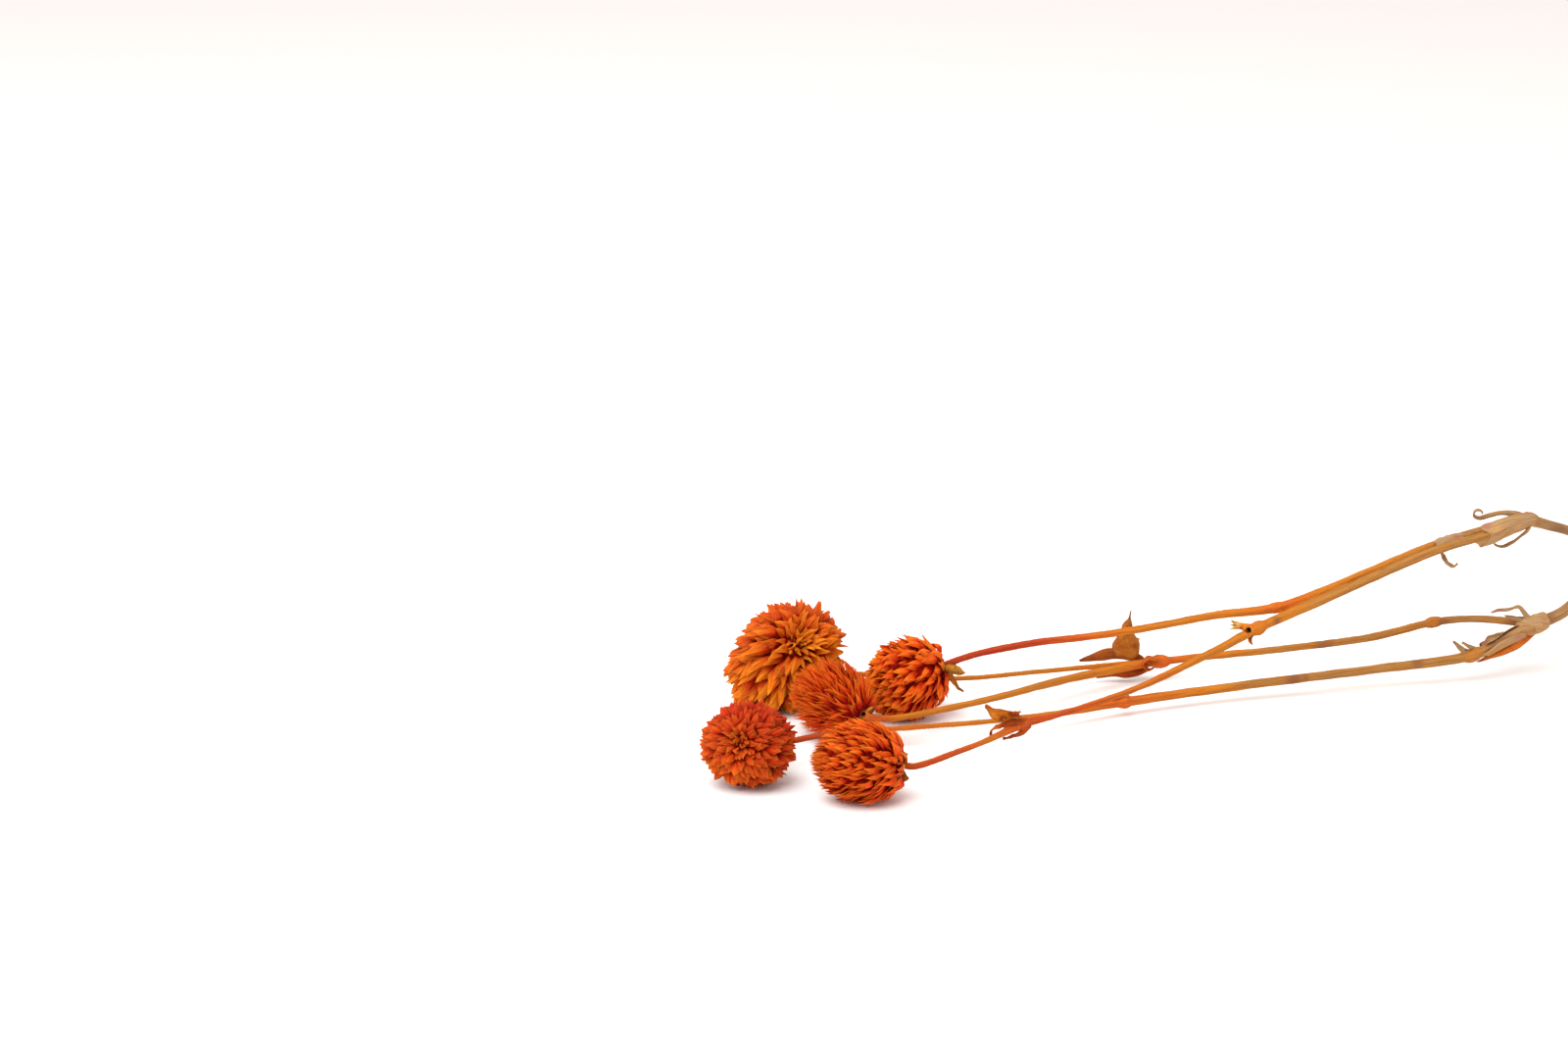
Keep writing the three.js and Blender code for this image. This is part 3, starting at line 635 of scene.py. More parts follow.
class Shader(Nodes):
    """A material that is built in code."""

    def __init__(self, name):
        self.material = bpy.data.materials.new(name)
        self.material.use_nodes = True
        super().__init__(self.material.node_tree)
        self.tree.nodes.clear()

    def number(self, name):
        """A number that the mesh keeps for each of its points."""
        return self.add("ShaderNodeAttribute", {"attribute_name": name}, output=2)

    def place(self, name):
        """A vector that the mesh keeps for each of its points."""
        return self.add("ShaderNodeAttribute", {"attribute_name": name}, output=1)

    def position(self):
        """The place of a point on the piece, in metres."""
        return self.add("ShaderNodeTexCoord", output=3)

    def noise(self, vector, scale, detail=3.0, roughness=0.55):
        """Soft noise from 0 to 1."""
        return self.add(
            "ShaderNodeTexNoise", None,
            {"Vector": vector, "Scale": scale, "Detail": detail, "Roughness": roughness},
        )

    def stretched(self, vector, x, y, z):
        """A vector with each part scaled by its own number."""
        return self.vectors("MULTIPLY", vector, (x, y, z))

    def mix(self, share, first, second, blend="MIX"):
        """A colour between two colours."""
        return self.add(
            "ShaderNodeMix", {"data_type": "RGBA", "blend_type": blend},
            {0: share, 6: solid(first), 7: solid(second)}, output=2,
        )

    def ramp(self, share, *stops):
        """A colour read from a ramp of (place, colour)."""
        return self.add("ShaderNodeValToRGB", {"stops": stops}, (share,))

    def finish(self, colour, roughness, height, depth, **sockets):
        """Ends the material in a Principled surface whose bump is height, depth metres deep."""
        normal = self.add("ShaderNodeBump", None, {"Height": height, "Distance": depth})
        surface = self.add(
            "ShaderNodeBsdfPrincipled", None,
            {"Base Color": colour, "Roughness": roughness, "Normal": normal, **sockets},
        )
        self.add("ShaderNodeOutputMaterial", None, {"Surface": surface})
        return self.material


def modifier_tree(name, sockets, result):
    """A Geometry Nodes tree with named inputs and one output: the tree, its nodes and its inputs."""
    tree = bpy.data.node_groups.new(name, "GeometryNodeTree")
    tree.is_modifier = True
    for socket, kind in sockets:
        tree.interface.new_socket(socket, in_out="INPUT", socket_type=kind)
    tree.interface.new_socket(result, in_out="OUTPUT", socket_type="NodeSocketGeometry")
    n = Nodes(tree)
    given = {socket: n.add("NodeGroupInput", output=index) for index, (socket, _) in enumerate(sockets)}
    return tree, n, given


def set_inputs(modifier, values):
    """Sets a Geometry Nodes modifier's inputs by their names."""
    for name, value in values.items():
        modifier[modifier.node_group.interface.items_tree[name].identifier] = value


def solid(colour):
    """A colour with its alpha, or a wire as it is."""
    return colour if isinstance(colour, Wire) else (*tuple(colour)[:3], 1.0)


def toned(colour, red, green, blue):
    """A colour with each channel scaled."""
    return (colour[0] * red, colour[1] * green, colour[2] * blue)


# ---- Materials ---------------------------------------------------------------------------------


def bract_material(name, colour, tip_colour, head):
    """Dry, papery, dyed bracts: deep red at the root, which is painted shade where they overlap, and in
    patches; lighter along the keel as a painted highlight, at the edges and the tip, on the lowest
    bracts, and at the head's eye, whose light inner bracts are painted lighter still to lift their
    shade; finely streaked lengthwise."""
    m = Shader(name)
    along = m.number("along")
    across = m.number("across")
    tint = m.number("tint")
    height = m.number("height")
    streak = m.noise(m.vector(across * 3.0, along * 0.9, tint * 57.0), 2.6, 4.0, 0.7)
    blotch = m.noise(m.vector(across * 0.6, along * 1.8, tint * 91.0), 1.7, 3.0)
    patch = m.noise(m.position(), 150.0, 2.0)
    dye = m.noise(m.position(), 60.0, 1.0)
    from_middle = m.vectors("SUBTRACT", m.position(), at(head["centre"]))
    red_side = Vector(head["ruddy"]) / (head["wide"] * MM)
    ruddy = m.vectors("DOT_PRODUCT", from_middle, red_side, output=1)
    # The keel's light is a painted highlight along its ridge.
    keel = 1 - abs(across).step(0.0, 0.6)
    rim = abs(across).step(0.75, 1.0)
    deep = toned(colour, 0.76, 0.3, 0.4)
    # The root's dark red is painted shade, where the bracts overlap and cover one another.
    root = toned(colour, 0.57, 0.085, 0.3)
    streaked = streak.step(0.46, 0.72) * 0.6 * along.step(0.25, 0.65)
    lowest = height.step(0.68, 0.86) * along.step(0.3, 0.6) * 0.5
    # The eye's light is partly its light inner bracts and partly painted light over their shade.
    eye = (1 - height.step(0.05, 0.2)) * along.step(0.2, 0.5) * 0.6
    # From root to tip, with painted shade at the root where bracts overlap; then what is light: the keel
    # as a painted highlight, the rim, the streaks and the lowest bracts.
    body = m.ramp(along, (0.14, root), (0.4, deep), (0.66, colour), (1.0, tip_colour))
    body = m.mix((keel * 0.3 + rim * 0.45) * along.step(0.3, 0.75), body, tip_colour)
    body = m.mix(streaked, body, toned(tip_colour, 1.1, 1.5, 2.6))
    body = m.mix(lowest, body, tip_colour)
    # Deep red in blotches on a bract and in patches over many, and the light eye at the top, painted
    # lighter still to lift the shade among its inner bracts.
    body = m.mix((1 - blotch).step(0.48, 0.7) * 0.5, body, deep)
    body = m.mix(patch.step(0.45, 0.68) * 0.35, body, deep)
    body = m.mix(eye, body, tip_colour)
    # No two bracts are quite as light, or as golden, and the ruddy side is less of both.
    shade = (0.8 + 0.3 * tint + 0.08 * height) * (1 - 0.2 * ruddy)
    gold = shade * (0.66 + 0.3 * tint + 0.55 * dye - 0.5 * ruddy)
    body = m.mix(1.0, body, m.vector(shade, gold, shade), "MULTIPLY")
    return m.finish(
        body, 0.55 + 0.2 * streak, streak * 0.6 + blotch * 0.4, 0.0003,
        **{"Subsurface Weight": 0.35, "Subsurface Radius": (1.0, 0.25, 0.05), "Subsurface Scale": 0.0014,
           "Specular IOR Level": 0.09},
    )


def stem_material(name, bark, ochre, red):
    """Dry stem: tan bark with purplish stains low down, ochre higher up and red near the heads, with
    lengthwise fibres, dark flecks, cracked joints, pale cuts, and bores painted dark as their inner
    shade."""
    m = Shader(name)
    tone = m.number("tone")
    joint = m.number("joint")
    cut = m.number("cut")
    stain = m.number("stain")
    round_it = m.place("bark_place")
    fibre = m.noise(m.stretched(round_it, 2.6, 2.6, 0.06), 3.4, 5.0, 0.65)
    band = m.noise(m.stretched(round_it, 1.1, 1.1, 0.02), 2.2, 3.0)
    fleck = m.noise(m.stretched(round_it, 1.5, 1.5, 0.16), 3.2, 4.0, 0.7)
    mottle = m.noise(m.position(), 900.0, 4.0, 0.65)
    moved = tone + 0.35 * (m.noise(m.stretched(round_it, 0.4, 0.4, 0.06), 1.3, 3.0) - 0.5)
    colour = m.ramp(
        moved, (0.0, bark), (0.25, toned(bark, 1.05, 0.88, 0.45)), (0.46, ochre),
        (0.72, toned(ochre, 1.02, 0.55, 0.7)), (0.98, red),
    )
    light = m.ramp(
        moved, (0.0, toned(bark, 1.8, 1.95, 2.2)), (0.4, toned(ochre, 1.4, 1.5, 2.0)),
        (0.9, toned(red, 1.6, 3.0, 1.6)),
    )
    shade = m.ramp(
        moved, (0.0, toned(bark, 0.5, 0.4, 0.4)), (0.4, toned(ochre, 0.48, 0.32, 0.9)),
        (0.9, toned(red, 0.55, 0.5, 0.9)),
    )
    # Light and dark fibres, and dark bands.
    colour = m.mix(fibre.step(0.44, 0.68) * 0.45, colour, light)
    colour = m.mix((1 - fibre).step(0.5, 0.7) * 0.55, colour, shade)
    colour = m.mix((1 - band).step(0.5, 0.64) * 0.4, colour, shade)
    # Purplish stains, dark flecks, and the mottled skin of the joints.
    colour = m.mix((stain * (0.3 + 1.5 * band)).step(0.1, 0.9) * 0.7, colour, toned(red, 0.5, 2.3, 5.0))
    colour = m.mix(fleck.step(0.66, 0.74) * 0.6, colour, toned(red, 0.35, 0.8, 1.0))
    colour = m.mix(joint * mottle.step(0.36, 0.6) * 0.6, colour, toned(red, 1.5, 4.2, 1.4))
    colour = m.mix(joint * (1 - mottle).step(0.52, 0.66) * 0.6, colour, toned(red, 0.6, 1.2, 1.2))
    # Pale cut faces, and bores painted almost black as the shade inside them.
    colour = m.mix(cut * 0.8, colour, toned(bark, 2.2, 2.1, 1.6))
    colour = m.mix(m.number("bore") * 0.92, colour, toned(bark, 0.08, 0.04, 0.03))
    height = fibre * 0.6 + fleck * 0.2 + mottle * joint * 0.8
    return m.finish(colour, 0.58 + 0.25 * fibre, height, 0.0004, **{"Specular IOR Level": 0.18})


def leaf_material(name, colour, pale, dark):
    """Shrivelled dry leaf: mottled, with a midrib, side veins and a fine net between them, darker to
    its edges, and orange red to dark red as it has more rust."""
    m = Shader(name)
    along = m.number("along")
    across = m.number("across")
    where = m.position()
    mottle = m.noise(where, 700.0, 4.0, 0.65)
    patch = m.noise(where, 230.0, 3.0)
    rust = m.number("rust")
    cells = m.add("ShaderNodeTexVoronoi", {"feature": "DISTANCE_TO_EDGE"},
                  {"Vector": where, "Scale": 2600.0})
    net = 1 - cells.step(0.0, 0.12)
    rib = 1 - abs(across).step(0.0, 0.12)
    slant = (along * 8.0 - abs(across) * 2.2) * (2 * math.pi)
    vein = slant.cos().step(0.72, 1.0)
    edge = (abs(across) + 0.3 * (mottle - 0.5)).step(0.72, 1.0)
    body = m.ramp(patch * 0.7 + mottle * 0.3, (0.36, dark), (0.46, colour), (0.64, pale))
    body = m.mix((rib + vein * 0.4) * 0.35, body, pale)
    body = m.mix(net * 0.1, body, dark)
    burnt = m.ramp(rust, (0.4, toned(colour, 0.82, 0.45, 0.5)), (0.8, toned(dark, 1.3, 1.2, 1.0)))
    body = m.mix(rust.step(0.0, 0.6) * (0.6 + 0.5 * mottle), body, burnt)
    body = m.mix(along.step(0.62, 1.0) * 0.55, body, dark)
    body = m.mix(edge * 0.75, body, dark)
    height = rib * 0.5 + vein * 0.3 + mottle * 0.7 - net * 0.1
    return m.finish(
        body, 0.55 + 0.2 * mottle, height, 0.0004,
        **{"Subsurface Weight": 0.15, "Subsurface Radius": (1.0, 0.25, 0.06),
           "Subsurface Scale": 0.0006, "Specular IOR Level": 0.12},
    )


def strip_material(name, pale, dark):
    """Peeled bark: a papery, fibrous skin, tan with grey and purplish patches, pale where fresh."""
    m = Shader(name)
    along = m.number("along")
    across = m.number("across")
    fibre = m.noise(m.vector(across * 5.0, along * 0.7, 0.0), 3.0, 5.0, 0.7)
    grey = m.noise(m.position(), 300.0, 4.0)
    stain = m.noise(m.position(), 170.0, 2.0)
    body = m.ramp(
        fibre, (0.3, dark), (0.5, toned(pale, 0.85, 0.8, 0.75)), (0.72, toned(pale, 1.3, 1.4, 1.6)),
    )
    body = m.mix(grey.step(0.46, 0.64) * 0.6, body, toned(pale, 0.72, 0.85, 1.2))
    body = m.mix(stain.step(0.56, 0.68) * 0.5, body, toned(dark, 1.6, 0.9, 2.2))
    body = m.mix(m.number("fresh"), body, toned(pale, 1.6, 1.7, 1.2))
    height = fibre * 0.7 + grey * 0.3
    return m.finish(body, 0.62 + 0.2 * fibre, height, 0.0004, **{"Specular IOR Level": 0.2})


def floor_material(name, colour):
    """A plain pale surface with the faintest unevenness."""
    m = Shader(name)
    grain = m.noise(m.position(), 40.0, 3.0)
    body = m.mix(grain * 0.25, colour, toned(colour, 0.97, 0.965, 0.96))
    return m.finish(body, 0.55 + 0.1 * grain, grain, 0.00005)


# ---- Settings ----------------------------------------------------------------------------------


def colour_property(name, description, default):
    """A colour that the sidebar shows."""
    return FloatVectorProperty(
        name=name, description=description, subtype="COLOR", size=3, min=0.0, max=1.0, default=default
    )


def length_property(name, description, millimetres):
    """A length that the sidebar shows."""
    return FloatProperty(
        name=name, description=description, default=millimetres * MM, precision=5, unit="LENGTH"
    )


class HeadSettings(bpy.types.PropertyGroup):
    """Sizes and colours of the flower heads."""

    fineness: FloatProperty(
        name="Bract number", description="More or fewer bracts on every head",
        default=1.0, min=0.2, max=2.0,
    )
    unevenness: FloatProperty(
        name="Unevenness", description="How unevenly the bracts lean", default=1.0, min=0.0, max=2.0
    )
    lumps: FloatProperty(
        name="Lumps", description="How far the heads are from a smooth round form",
        default=0.4, min=0.0, max=1.0,
    )
    sink: length_property("Root depth", "How deep a bract's root sits in the core", 1.5)
    front: colour_property("Front", "Colour of the front head", (0.70, 0.050, 0.001))
    front_left: colour_property("Front left", "Colour of the front left head", (0.53, 0.020, 0.0004))
    middle: colour_property("Middle", "Colour of the middle head", (0.70, 0.047, 0.0008))
    back_right: colour_property("Back right", "Colour of the back right head", (0.78, 0.072, 0.0014))
    back_left: colour_property("Back left", "Colour of the back left head", (0.64, 0.062, 0.0008))


class StemSettings(bpy.types.PropertyGroup):
    """Sizes and colours of the stem, its bark and its hairs."""

    grain: length_property("Grain", "Size of the stem's smallest faces", 0.35)
    rib_depth: length_property("Rib depth", "Depth of the ribs along the stem", 0.07)
    bark: colour_property("Bark", "Colour of the bark low down", (0.35, 0.195, 0.085))
    ochre: colour_property("Ochre", "Colour of the stem higher up", (0.56, 0.175, 0.008))
    red: colour_property("Red", "Colour of the stalks near the heads", (0.40, 0.032, 0.007))
    hairs: IntProperty(
        name="Hairs", description="Hairs on each square centimetre of stalk", default=1300, min=0
    )
    hair_length: length_property("Hair length", "Length of the stalk's hairs", 0.32)


class LeafSettings(bpy.types.PropertyGroup):
    """Sizes and colours of the dry leaves and the leafy bracts."""

    thickness: length_property("Thickness", "Thickness of a dry leaf", 0.22)
    leaf: colour_property("Leaf", "Main colour of a dry leaf", (0.66, 0.19, 0.012))
    pale: colour_property("Veins", "Colour of its veins and pale patches", (0.80, 0.33, 0.035))
    dark: colour_property("Edges", "Colour of its dark edges and patches", (0.24, 0.03, 0.004))
    olive: colour_property("Olive", "Colour of the leafy bracts", (0.33, 0.15, 0.014))


class StageSettings(bpy.types.PropertyGroup):
    """The surface and the light."""

    floor: colour_property("Surface", "Colour of the surface", (0.958, 0.953, 0.948))
    key_power: FloatProperty(
        name="Main light", description="Power of the main light", default=13.0, unit="POWER"
    )
    sky: FloatProperty(
        name="Surrounding light", description="Strength of the light all round", default=0.88
    )


class AmaranthSettings(bpy.types.PropertyGroup):
    """Everything that the sidebar shows."""

    heads: PointerProperty(type=HeadSettings)
    stem: PointerProperty(type=StemSettings)
    leaves: PointerProperty(type=LeafSettings)
    stage: PointerProperty(type=StageSettings)


# ---- Flower heads ------------------------------------------------------------------------------


def bract_mesh(name, head, draw):
    """One bract as long as 1 along Z and as wide as 1 along Y, its keel towards +X: a folded, papery
    blade with crinkled edges that closes to a point."""
    shoulder = head["shoulder"] + draw.uniform(-0.08, 0.08)
    fold = head["fold"] * draw.uniform(0.7, 1.3)
    arch = head["arch"] * draw.uniform(0.5, 1.5)
    hook = head["hook"] + draw.uniform(-0.35, 0.35)
    twist = draw.uniform(-0.9, 0.9)
    drift = draw.uniform(-0.45, 0.45)
    lopsided = draw.uniform(-0.25, 0.25)
    bm = bmesh.new()
    along_layer = bm.verts.layers.float.new("along")
    across_layer = bm.verts.layers.float.new("across")

    def vertex(x, y, t, across):
        turn = twist * t
        bow = arch * 4 * t * (1 - t) + hook * max(t - 0.5, 0.0) ** 2 * 4
        point = bm.verts.new((
            x * math.cos(turn) - y * math.sin(turn) + bow,
            x * math.sin(turn) + y * math.cos(turn) + drift * t ** 2,
            t,
        ))
        point[along_layer] = t
        point[across_layer] = across
        return point

    rings = []
    for t in BRACT_STATIONS:
        if t < shoulder:
            half = 0.5 * (0.35 + 0.65 * math.sin(0.5 * math.pi * t / shoulder))
        else:
            half = 0.5 * ((1 - t) / (1 - shoulder)) ** head["taper"]
        keel = fold * half * 1.6
        left, right = (
            half * (1 + side * lopsided) * draw.uniform(0.8, 1.18) for side in (-1, 1)
        )
        lift_left, lift_right = (keel * draw.uniform(-0.22, 0.12) for _ in range(2))
        rings.append([
            vertex(lift_left, -left, t, -1.0),
            vertex(keel * 0.52, -left * 0.5, t, -0.5),
            vertex(keel, 0.0, t, 0.0),
            vertex(keel * 0.52, right * 0.5, t, 0.5),
            vertex(lift_right, right, t, 1.0),
            vertex(keel * 0.9 - BRACT_WALL, 0.0, t, 0.0),
        ])
    tip = vertex(0.0, 0.0, 1.0, 0.0)
    join_rings(bm, rings)
    for side in range(len(rings[-1])):
        bm.faces.new((rings[-1][side - 1], rings[-1][side], tip))
    mesh = mesh_of(name, bm)
    smooth(mesh, BRACT_CREASE)
    return mesh


BRACT_INPUTS = (
    ("Core", "NodeSocketGeometry"), ("Bract Shapes", "NodeSocketCollection"),
    ("Bracts", "NodeSocketInt"), ("Last Angle", "NodeSocketFloat"), ("Lumps", "NodeSocketFloat"),
    ("Core Half Length", "NodeSocketFloat"), ("Core Half Width", "NodeSocketFloat"),
    ("Rise", "NodeSocketFloat"), ("Bract Width", "NodeSocketFloat"), ("Root Depth", "NodeSocketFloat"),
    ("Flare", "NodeSocketFloat"), ("Open", "NodeSocketFloat"), ("Lean Spread", "NodeSocketFloat"),
    ("Sway", "NodeSocketFloat"), ("Strands", "NodeSocketFloat"), ("Seed", "NodeSocketInt"),
    ("Material", "NodeSocketMaterial"),
)


def bract_tree():
    """Bracts on a spiral from the top of a core to its base, each leaning out over the next."""
    tree, n, given = modifier_tree("spiral_of_bracts", BRACT_INPUTS, "Head")
    seed = given["Seed"]

    def drawn(low, high, stream):
        """A number drawn for each bract."""
        return n.drawn(low, high, seed + stream)

    index = n.add("GeometryNodeInputIndex")
    share = (index + 0.5) / given["Bracts"]
    cosine = 1 - (1 - given["Last Angle"].cos()) * share ** TOP_CROWDING
    angle = cosine.math("ARCCOSINE")
    turn = index * GOLDEN_ANGLE + drawn(-0.16, 0.16, 1)
    away = angle.step(0.0, TOP_ANGLE)
    round_base = angle.sin() ** (1 - BASE_BLUNTNESS * angle.step(0.5 * math.pi, math.pi))
    lean = given["Flare"] * away + given["Open"] * angle + given["Lean Spread"] * drawn(-0.5, 0.5, 2)
    facing = turn + given["Sway"] * drawn(-0.5, 0.5, 3)
    out = given["Core Half Width"] * round_base - given["Root Depth"] * lean.sin()
    up = given["Core Half Length"] * cosine - given["Root Depth"] * lean.cos()
    place = n.vector(out * turn.cos(), out * turn.sin(), up)
    lump = n.add("ShaderNodeTexNoise", {"noise_dimensions": "4D"},
                 {"Vector": place, "W": seed * 1.0, "Scale": LUMPS_A_METRE, "Detail": 1.0})
    uneven = 1 + given["Lumps"] * (lump - 0.5)
    place = n.vectors("MULTIPLY", place, n.vector(uneven, uneven, uneven))
    pointing = n.vector(lean.sin() * facing.cos(), lean.sin() * facing.sin(), lean.cos())
    roll = drawn(-0.35, 0.35, 4)
    keel = n.vector(
        lean.cos() * facing.cos() - roll * facing.sin(),
        lean.cos() * facing.sin() + roll * facing.cos(),
        0 - lean.sin(),
    )
    slope = (angle - lean).cos().math("MAXIMUM", SLOPE_LEAST)
    thread = drawn(0.0, 1.0, 9).math("LESS_THAN", given["Strands"])
    length = given["Rise"] * drawn(0.76, 1.14, 5) / slope * (1 + 0.12 * thread) + given["Root Depth"]
    length = length * (1 - 0.28 * (1 - away) * given["Flare"])
    width = given["Bract Width"] * drawn(0.7, 1.2, 6) * (0.42 + 0.58 * away) * (1 - 0.66 * thread)
    width = width * (1 + 0.4 * angle.step(2.1, 2.8))
    depth = width * drawn(0.75, 1.3, 10)
    points = n.add("GeometryNodePoints", None, {"Count": given["Bracts"], "Position": place})
    shapes = n.add("GeometryNodeCollectionInfo", None, {
        "Collection": given["Bract Shapes"], "Separate Children": True, "Reset Children": True,
    })
    pick = n.add("FunctionNodeRandomValue", {"data_type": "INT"},
                 {4: 0, 5: BRACT_SHAPES - 1, 8: seed + 7}, output=2)
    rotation = n.add("FunctionNodeAxesToRotation", {"primary_axis": "Z", "secondary_axis": "X"},
                     (pointing, keel))
    bracts = n.add("GeometryNodeInstanceOnPoints", None, {
        "Points": points, "Instance": shapes, "Pick Instance": True, "Instance Index": pick,
        "Rotation": rotation, "Scale": n.vector(depth, width, length),
    })
    for name, value in (("tint", drawn(0.0, 1.0, 8)), ("height", angle / math.pi)):
        bracts = n.add("GeometryNodeStoreNamedAttribute", {"data_type": "FLOAT", "domain": "INSTANCE"},
                       {"Geometry": bracts, "Name": name, "Value": value})
    bracts = n.add("GeometryNodeRealizeInstances", None, {"Geometry": bracts})
    joined = n.add("GeometryNodeJoinGeometry", None, {0: given["Core"]})
    tree.links.new(bracts.socket, joined.socket.node.inputs[0])
    dressed = n.add("GeometryNodeSetMaterial", None,
                    {"Geometry": joined, "Material": given["Material"]})
    n.add("NodeGroupOutput", None, (dressed,))
    return tree


def flower_head(name, head, tree, settings):
    """One head: a core painted dark red as the shade under the bracts, and the bracts that stand out of
    it.
    """
    draw = random.Random(head["seed"])
    shapes = bpy.data.collections.new(f"bract_shapes_{name}")
    bpy.context.scene.collection.children.link(shapes)
    for index in range(BRACT_SHAPES):
        mesh = bract_mesh(f"bract_{name}_{index}", head, draw)
        shapes.objects.link(bpy.data.objects.new(mesh.name, mesh))
    half_length = head["core"] * head["long"] * MM
    half_width = head["core"] * head["wide"] * MM
    bm = bmesh.new()
    core_length = half_length * CORE_SHRINK
    add_ball(bm, Vector(), (0, 0, 1), core_length, half_width * CORE_SHRINK, rings=14, sides=18)
    for vertex in bm.verts:
        low = max(-vertex.co.z / core_length, 0.0)
        away = math.sqrt(max(1 - low * low, 0.01))
        vertex.co.xy *= away ** (-BASE_BLUNTNESS * low)
    piece = object_of(f"bracts_{name}", mesh_of(f"core_{name}", bm))
    colour = tuple(getattr(settings, name))
    tip = (min(colour[0] * 1.22, 1.0), colour[1] * 2.1 + 0.026, colour[2] * 3.5 + 0.005)
    # The core keeps no bract numbers, so it takes the roots' dark red: painted shade between the bracts.
    material = bract_material(f"bract_paper_{name}", colour, tip, head)
    modifier = piece.modifiers.new("Bracts", "NODES")
    modifier.node_group = tree
    set_inputs(modifier, {
        "Bract Shapes": shapes, "Bracts": round(head["bracts"] * settings.fineness),
        "Last Angle": math.radians(head["last"]), "Lumps": settings.lumps,
        "Core Half Length": half_length, "Core Half Width": half_width,
        "Rise": (1 - head["core"]) * head["wide"] * MM, "Bract Width": head["width"] * MM,
        "Root Depth": settings.sink, "Flare": head["flare"], "Open": head["open"],
        "Lean Spread": settings.unevenness * head["spread"], "Sway": settings.unevenness * head["sway"],
        "Strands": head["strands"], "Seed": head["seed"], "Material": material,
    })
    settled(piece)
    for shape in list(shapes.objects):
        bpy.data.objects.remove(shape)
    bpy.data.collections.remove(shapes)
    centre, along, side, other = head_axes(head)
    turn = Matrix((side, other, along)).transposed().to_4x4()
    piece.data.transform(Matrix.Translation(centre) @ turn)
    draw_out(piece.data, centre, head["wide"] * MM, head.get("bulges", ()))
    rest_on_surface(piece.data)
    return piece


def draw_out(mesh, centre, radius, bulges):
    """Draws a head out, or in, on some of its sides."""
    sides = [(Vector(side).normalized(), reach * MM) for side, reach in bulges]
    for vertex in mesh.vertices:
        way = (vertex.co - centre) / radius
        for side, reach in sides:
            vertex.co += side * reach * max(way.dot(side), 0.0) ** 2


def rest_on_surface(mesh):
    """Bends back what would reach below the surface, so that it lies on it."""
    for vertex in mesh.vertices:
        if vertex.co.z < REST_GAP:
            vertex.co.z = REST_GAP * math.exp((vertex.co.z - REST_GAP) / MM)


class AMARANTH_OT_heads(bpy.types.Operator):
    """Make the five flower heads"""

    bl_idname = "amaranth.heads"
    bl_label = "Flower Heads"

    def execute(self, context):
        settings = context.scene.amaranth.heads
        tree = bract_tree()
        for name, head in HEADS.items():
            piece = flower_head(name, head, tree, settings)
            finished(piece, frame_slot(f"head_{name}"), f"head_{name}")
        return {"FINISHED"}


def frame_slot(node):
    """The material slot that the record gives a node."""
    for entry in frame["record"]["subparts"]:
        if entry["node"] == node:
            return entry["material_slot"]
    raise ValueError(f"the record has no slot for {node}")


# ---- The stem ----------------------------------------------------------------------------------


def stem_lines():
    """The stem's centre lines as lists of (point, radius, tone), in metres."""
    lines = []
    for head_name, stations in STEM_LENGTHS:
        rows = [(at(place), radius * MM, tone) for place, radius, tone in stations]
        if head_name:
            head = HEADS[head_name]
            _, along, _, _ = head_axes(head)
            end = collar_place(head)
            tone = rows[-1][2]
            below = end - along * (STALK_STRAIGHT + COLLAR_REACH) * MM
            rows += [(point, STALK_RADIUS * MM, tone) for point in (below, end)]
        points, radii, tones = zip(*rows)
        last = len(rows) - 1
        lines.append([
            (point, between(radii, way / last), between(tones, way / last))
            for point, way in spline(points, STEM_STEP)
        ])
    return lines


def bare_stem(lines, grain):
    """The stem's lengths, swellings and stubs grown into one skin, with the stubs' ends hollow."""
    bm = bmesh.new()
    for line in lines:
        add_tube(bm, [(point, radius) for point, radius, _ in line])
    for place, direction, half_length, radius in SWELLINGS:
        add_ball(bm, at(place), direction, half_length * MM, radius * MM)
    for joint, end, radius in STUBS:
        add_tube(bm, [(at(joint), radius * MM), (at(end), radius * MM * STUB_END_SHARE)])
    piece = object_of("dry_stem", mesh_of("dry_stem", bm))
    skin = piece.modifiers.new("Skin", "REMESH")
    skin.mode = "VOXEL"
    skin.voxel_size = grain
    soften = piece.modifiers.new("Soften", "SMOOTH")
    soften.factor = 0.5
    soften.iterations = 2
    settled(piece)
    bores = bmesh.new()
    for joint, end, radius in STUBS:
        tip = at(end)
        along = (tip - at(joint)).normalized()
        bore = radius * STUB_BORE_SHARE * MM
        bottom = tip - along * radius * STUB_BORE_DEPTH * MM
        add_tube(bores, [(bottom, bore * 0.8), (tip + along * MM, bore)])
    cutter = object_of("bores", mesh_of("bores", bores))
    hollow = piece.modifiers.new("Hollow", "BOOLEAN")
    hollow.operation = "DIFFERENCE"
    hollow.object = cutter
    settled(piece)
    bpy.data.objects.remove(cutter)
    return piece


def in_bore(point, joint, end, radius):
    """Whether a point of the stem is on the wall or the rim of a stub's bore."""
    along = (at(end) - at(joint)).normalized()
    reach = (point - at(end)).dot(along) / (radius * MM)
    aside = (point - at(end)).cross(along).length / (radius * MM)
    return -1.05 * STUB_BORE_DEPTH < reach < 0.15 and aside < STUB_BORE_SHARE * 1.06


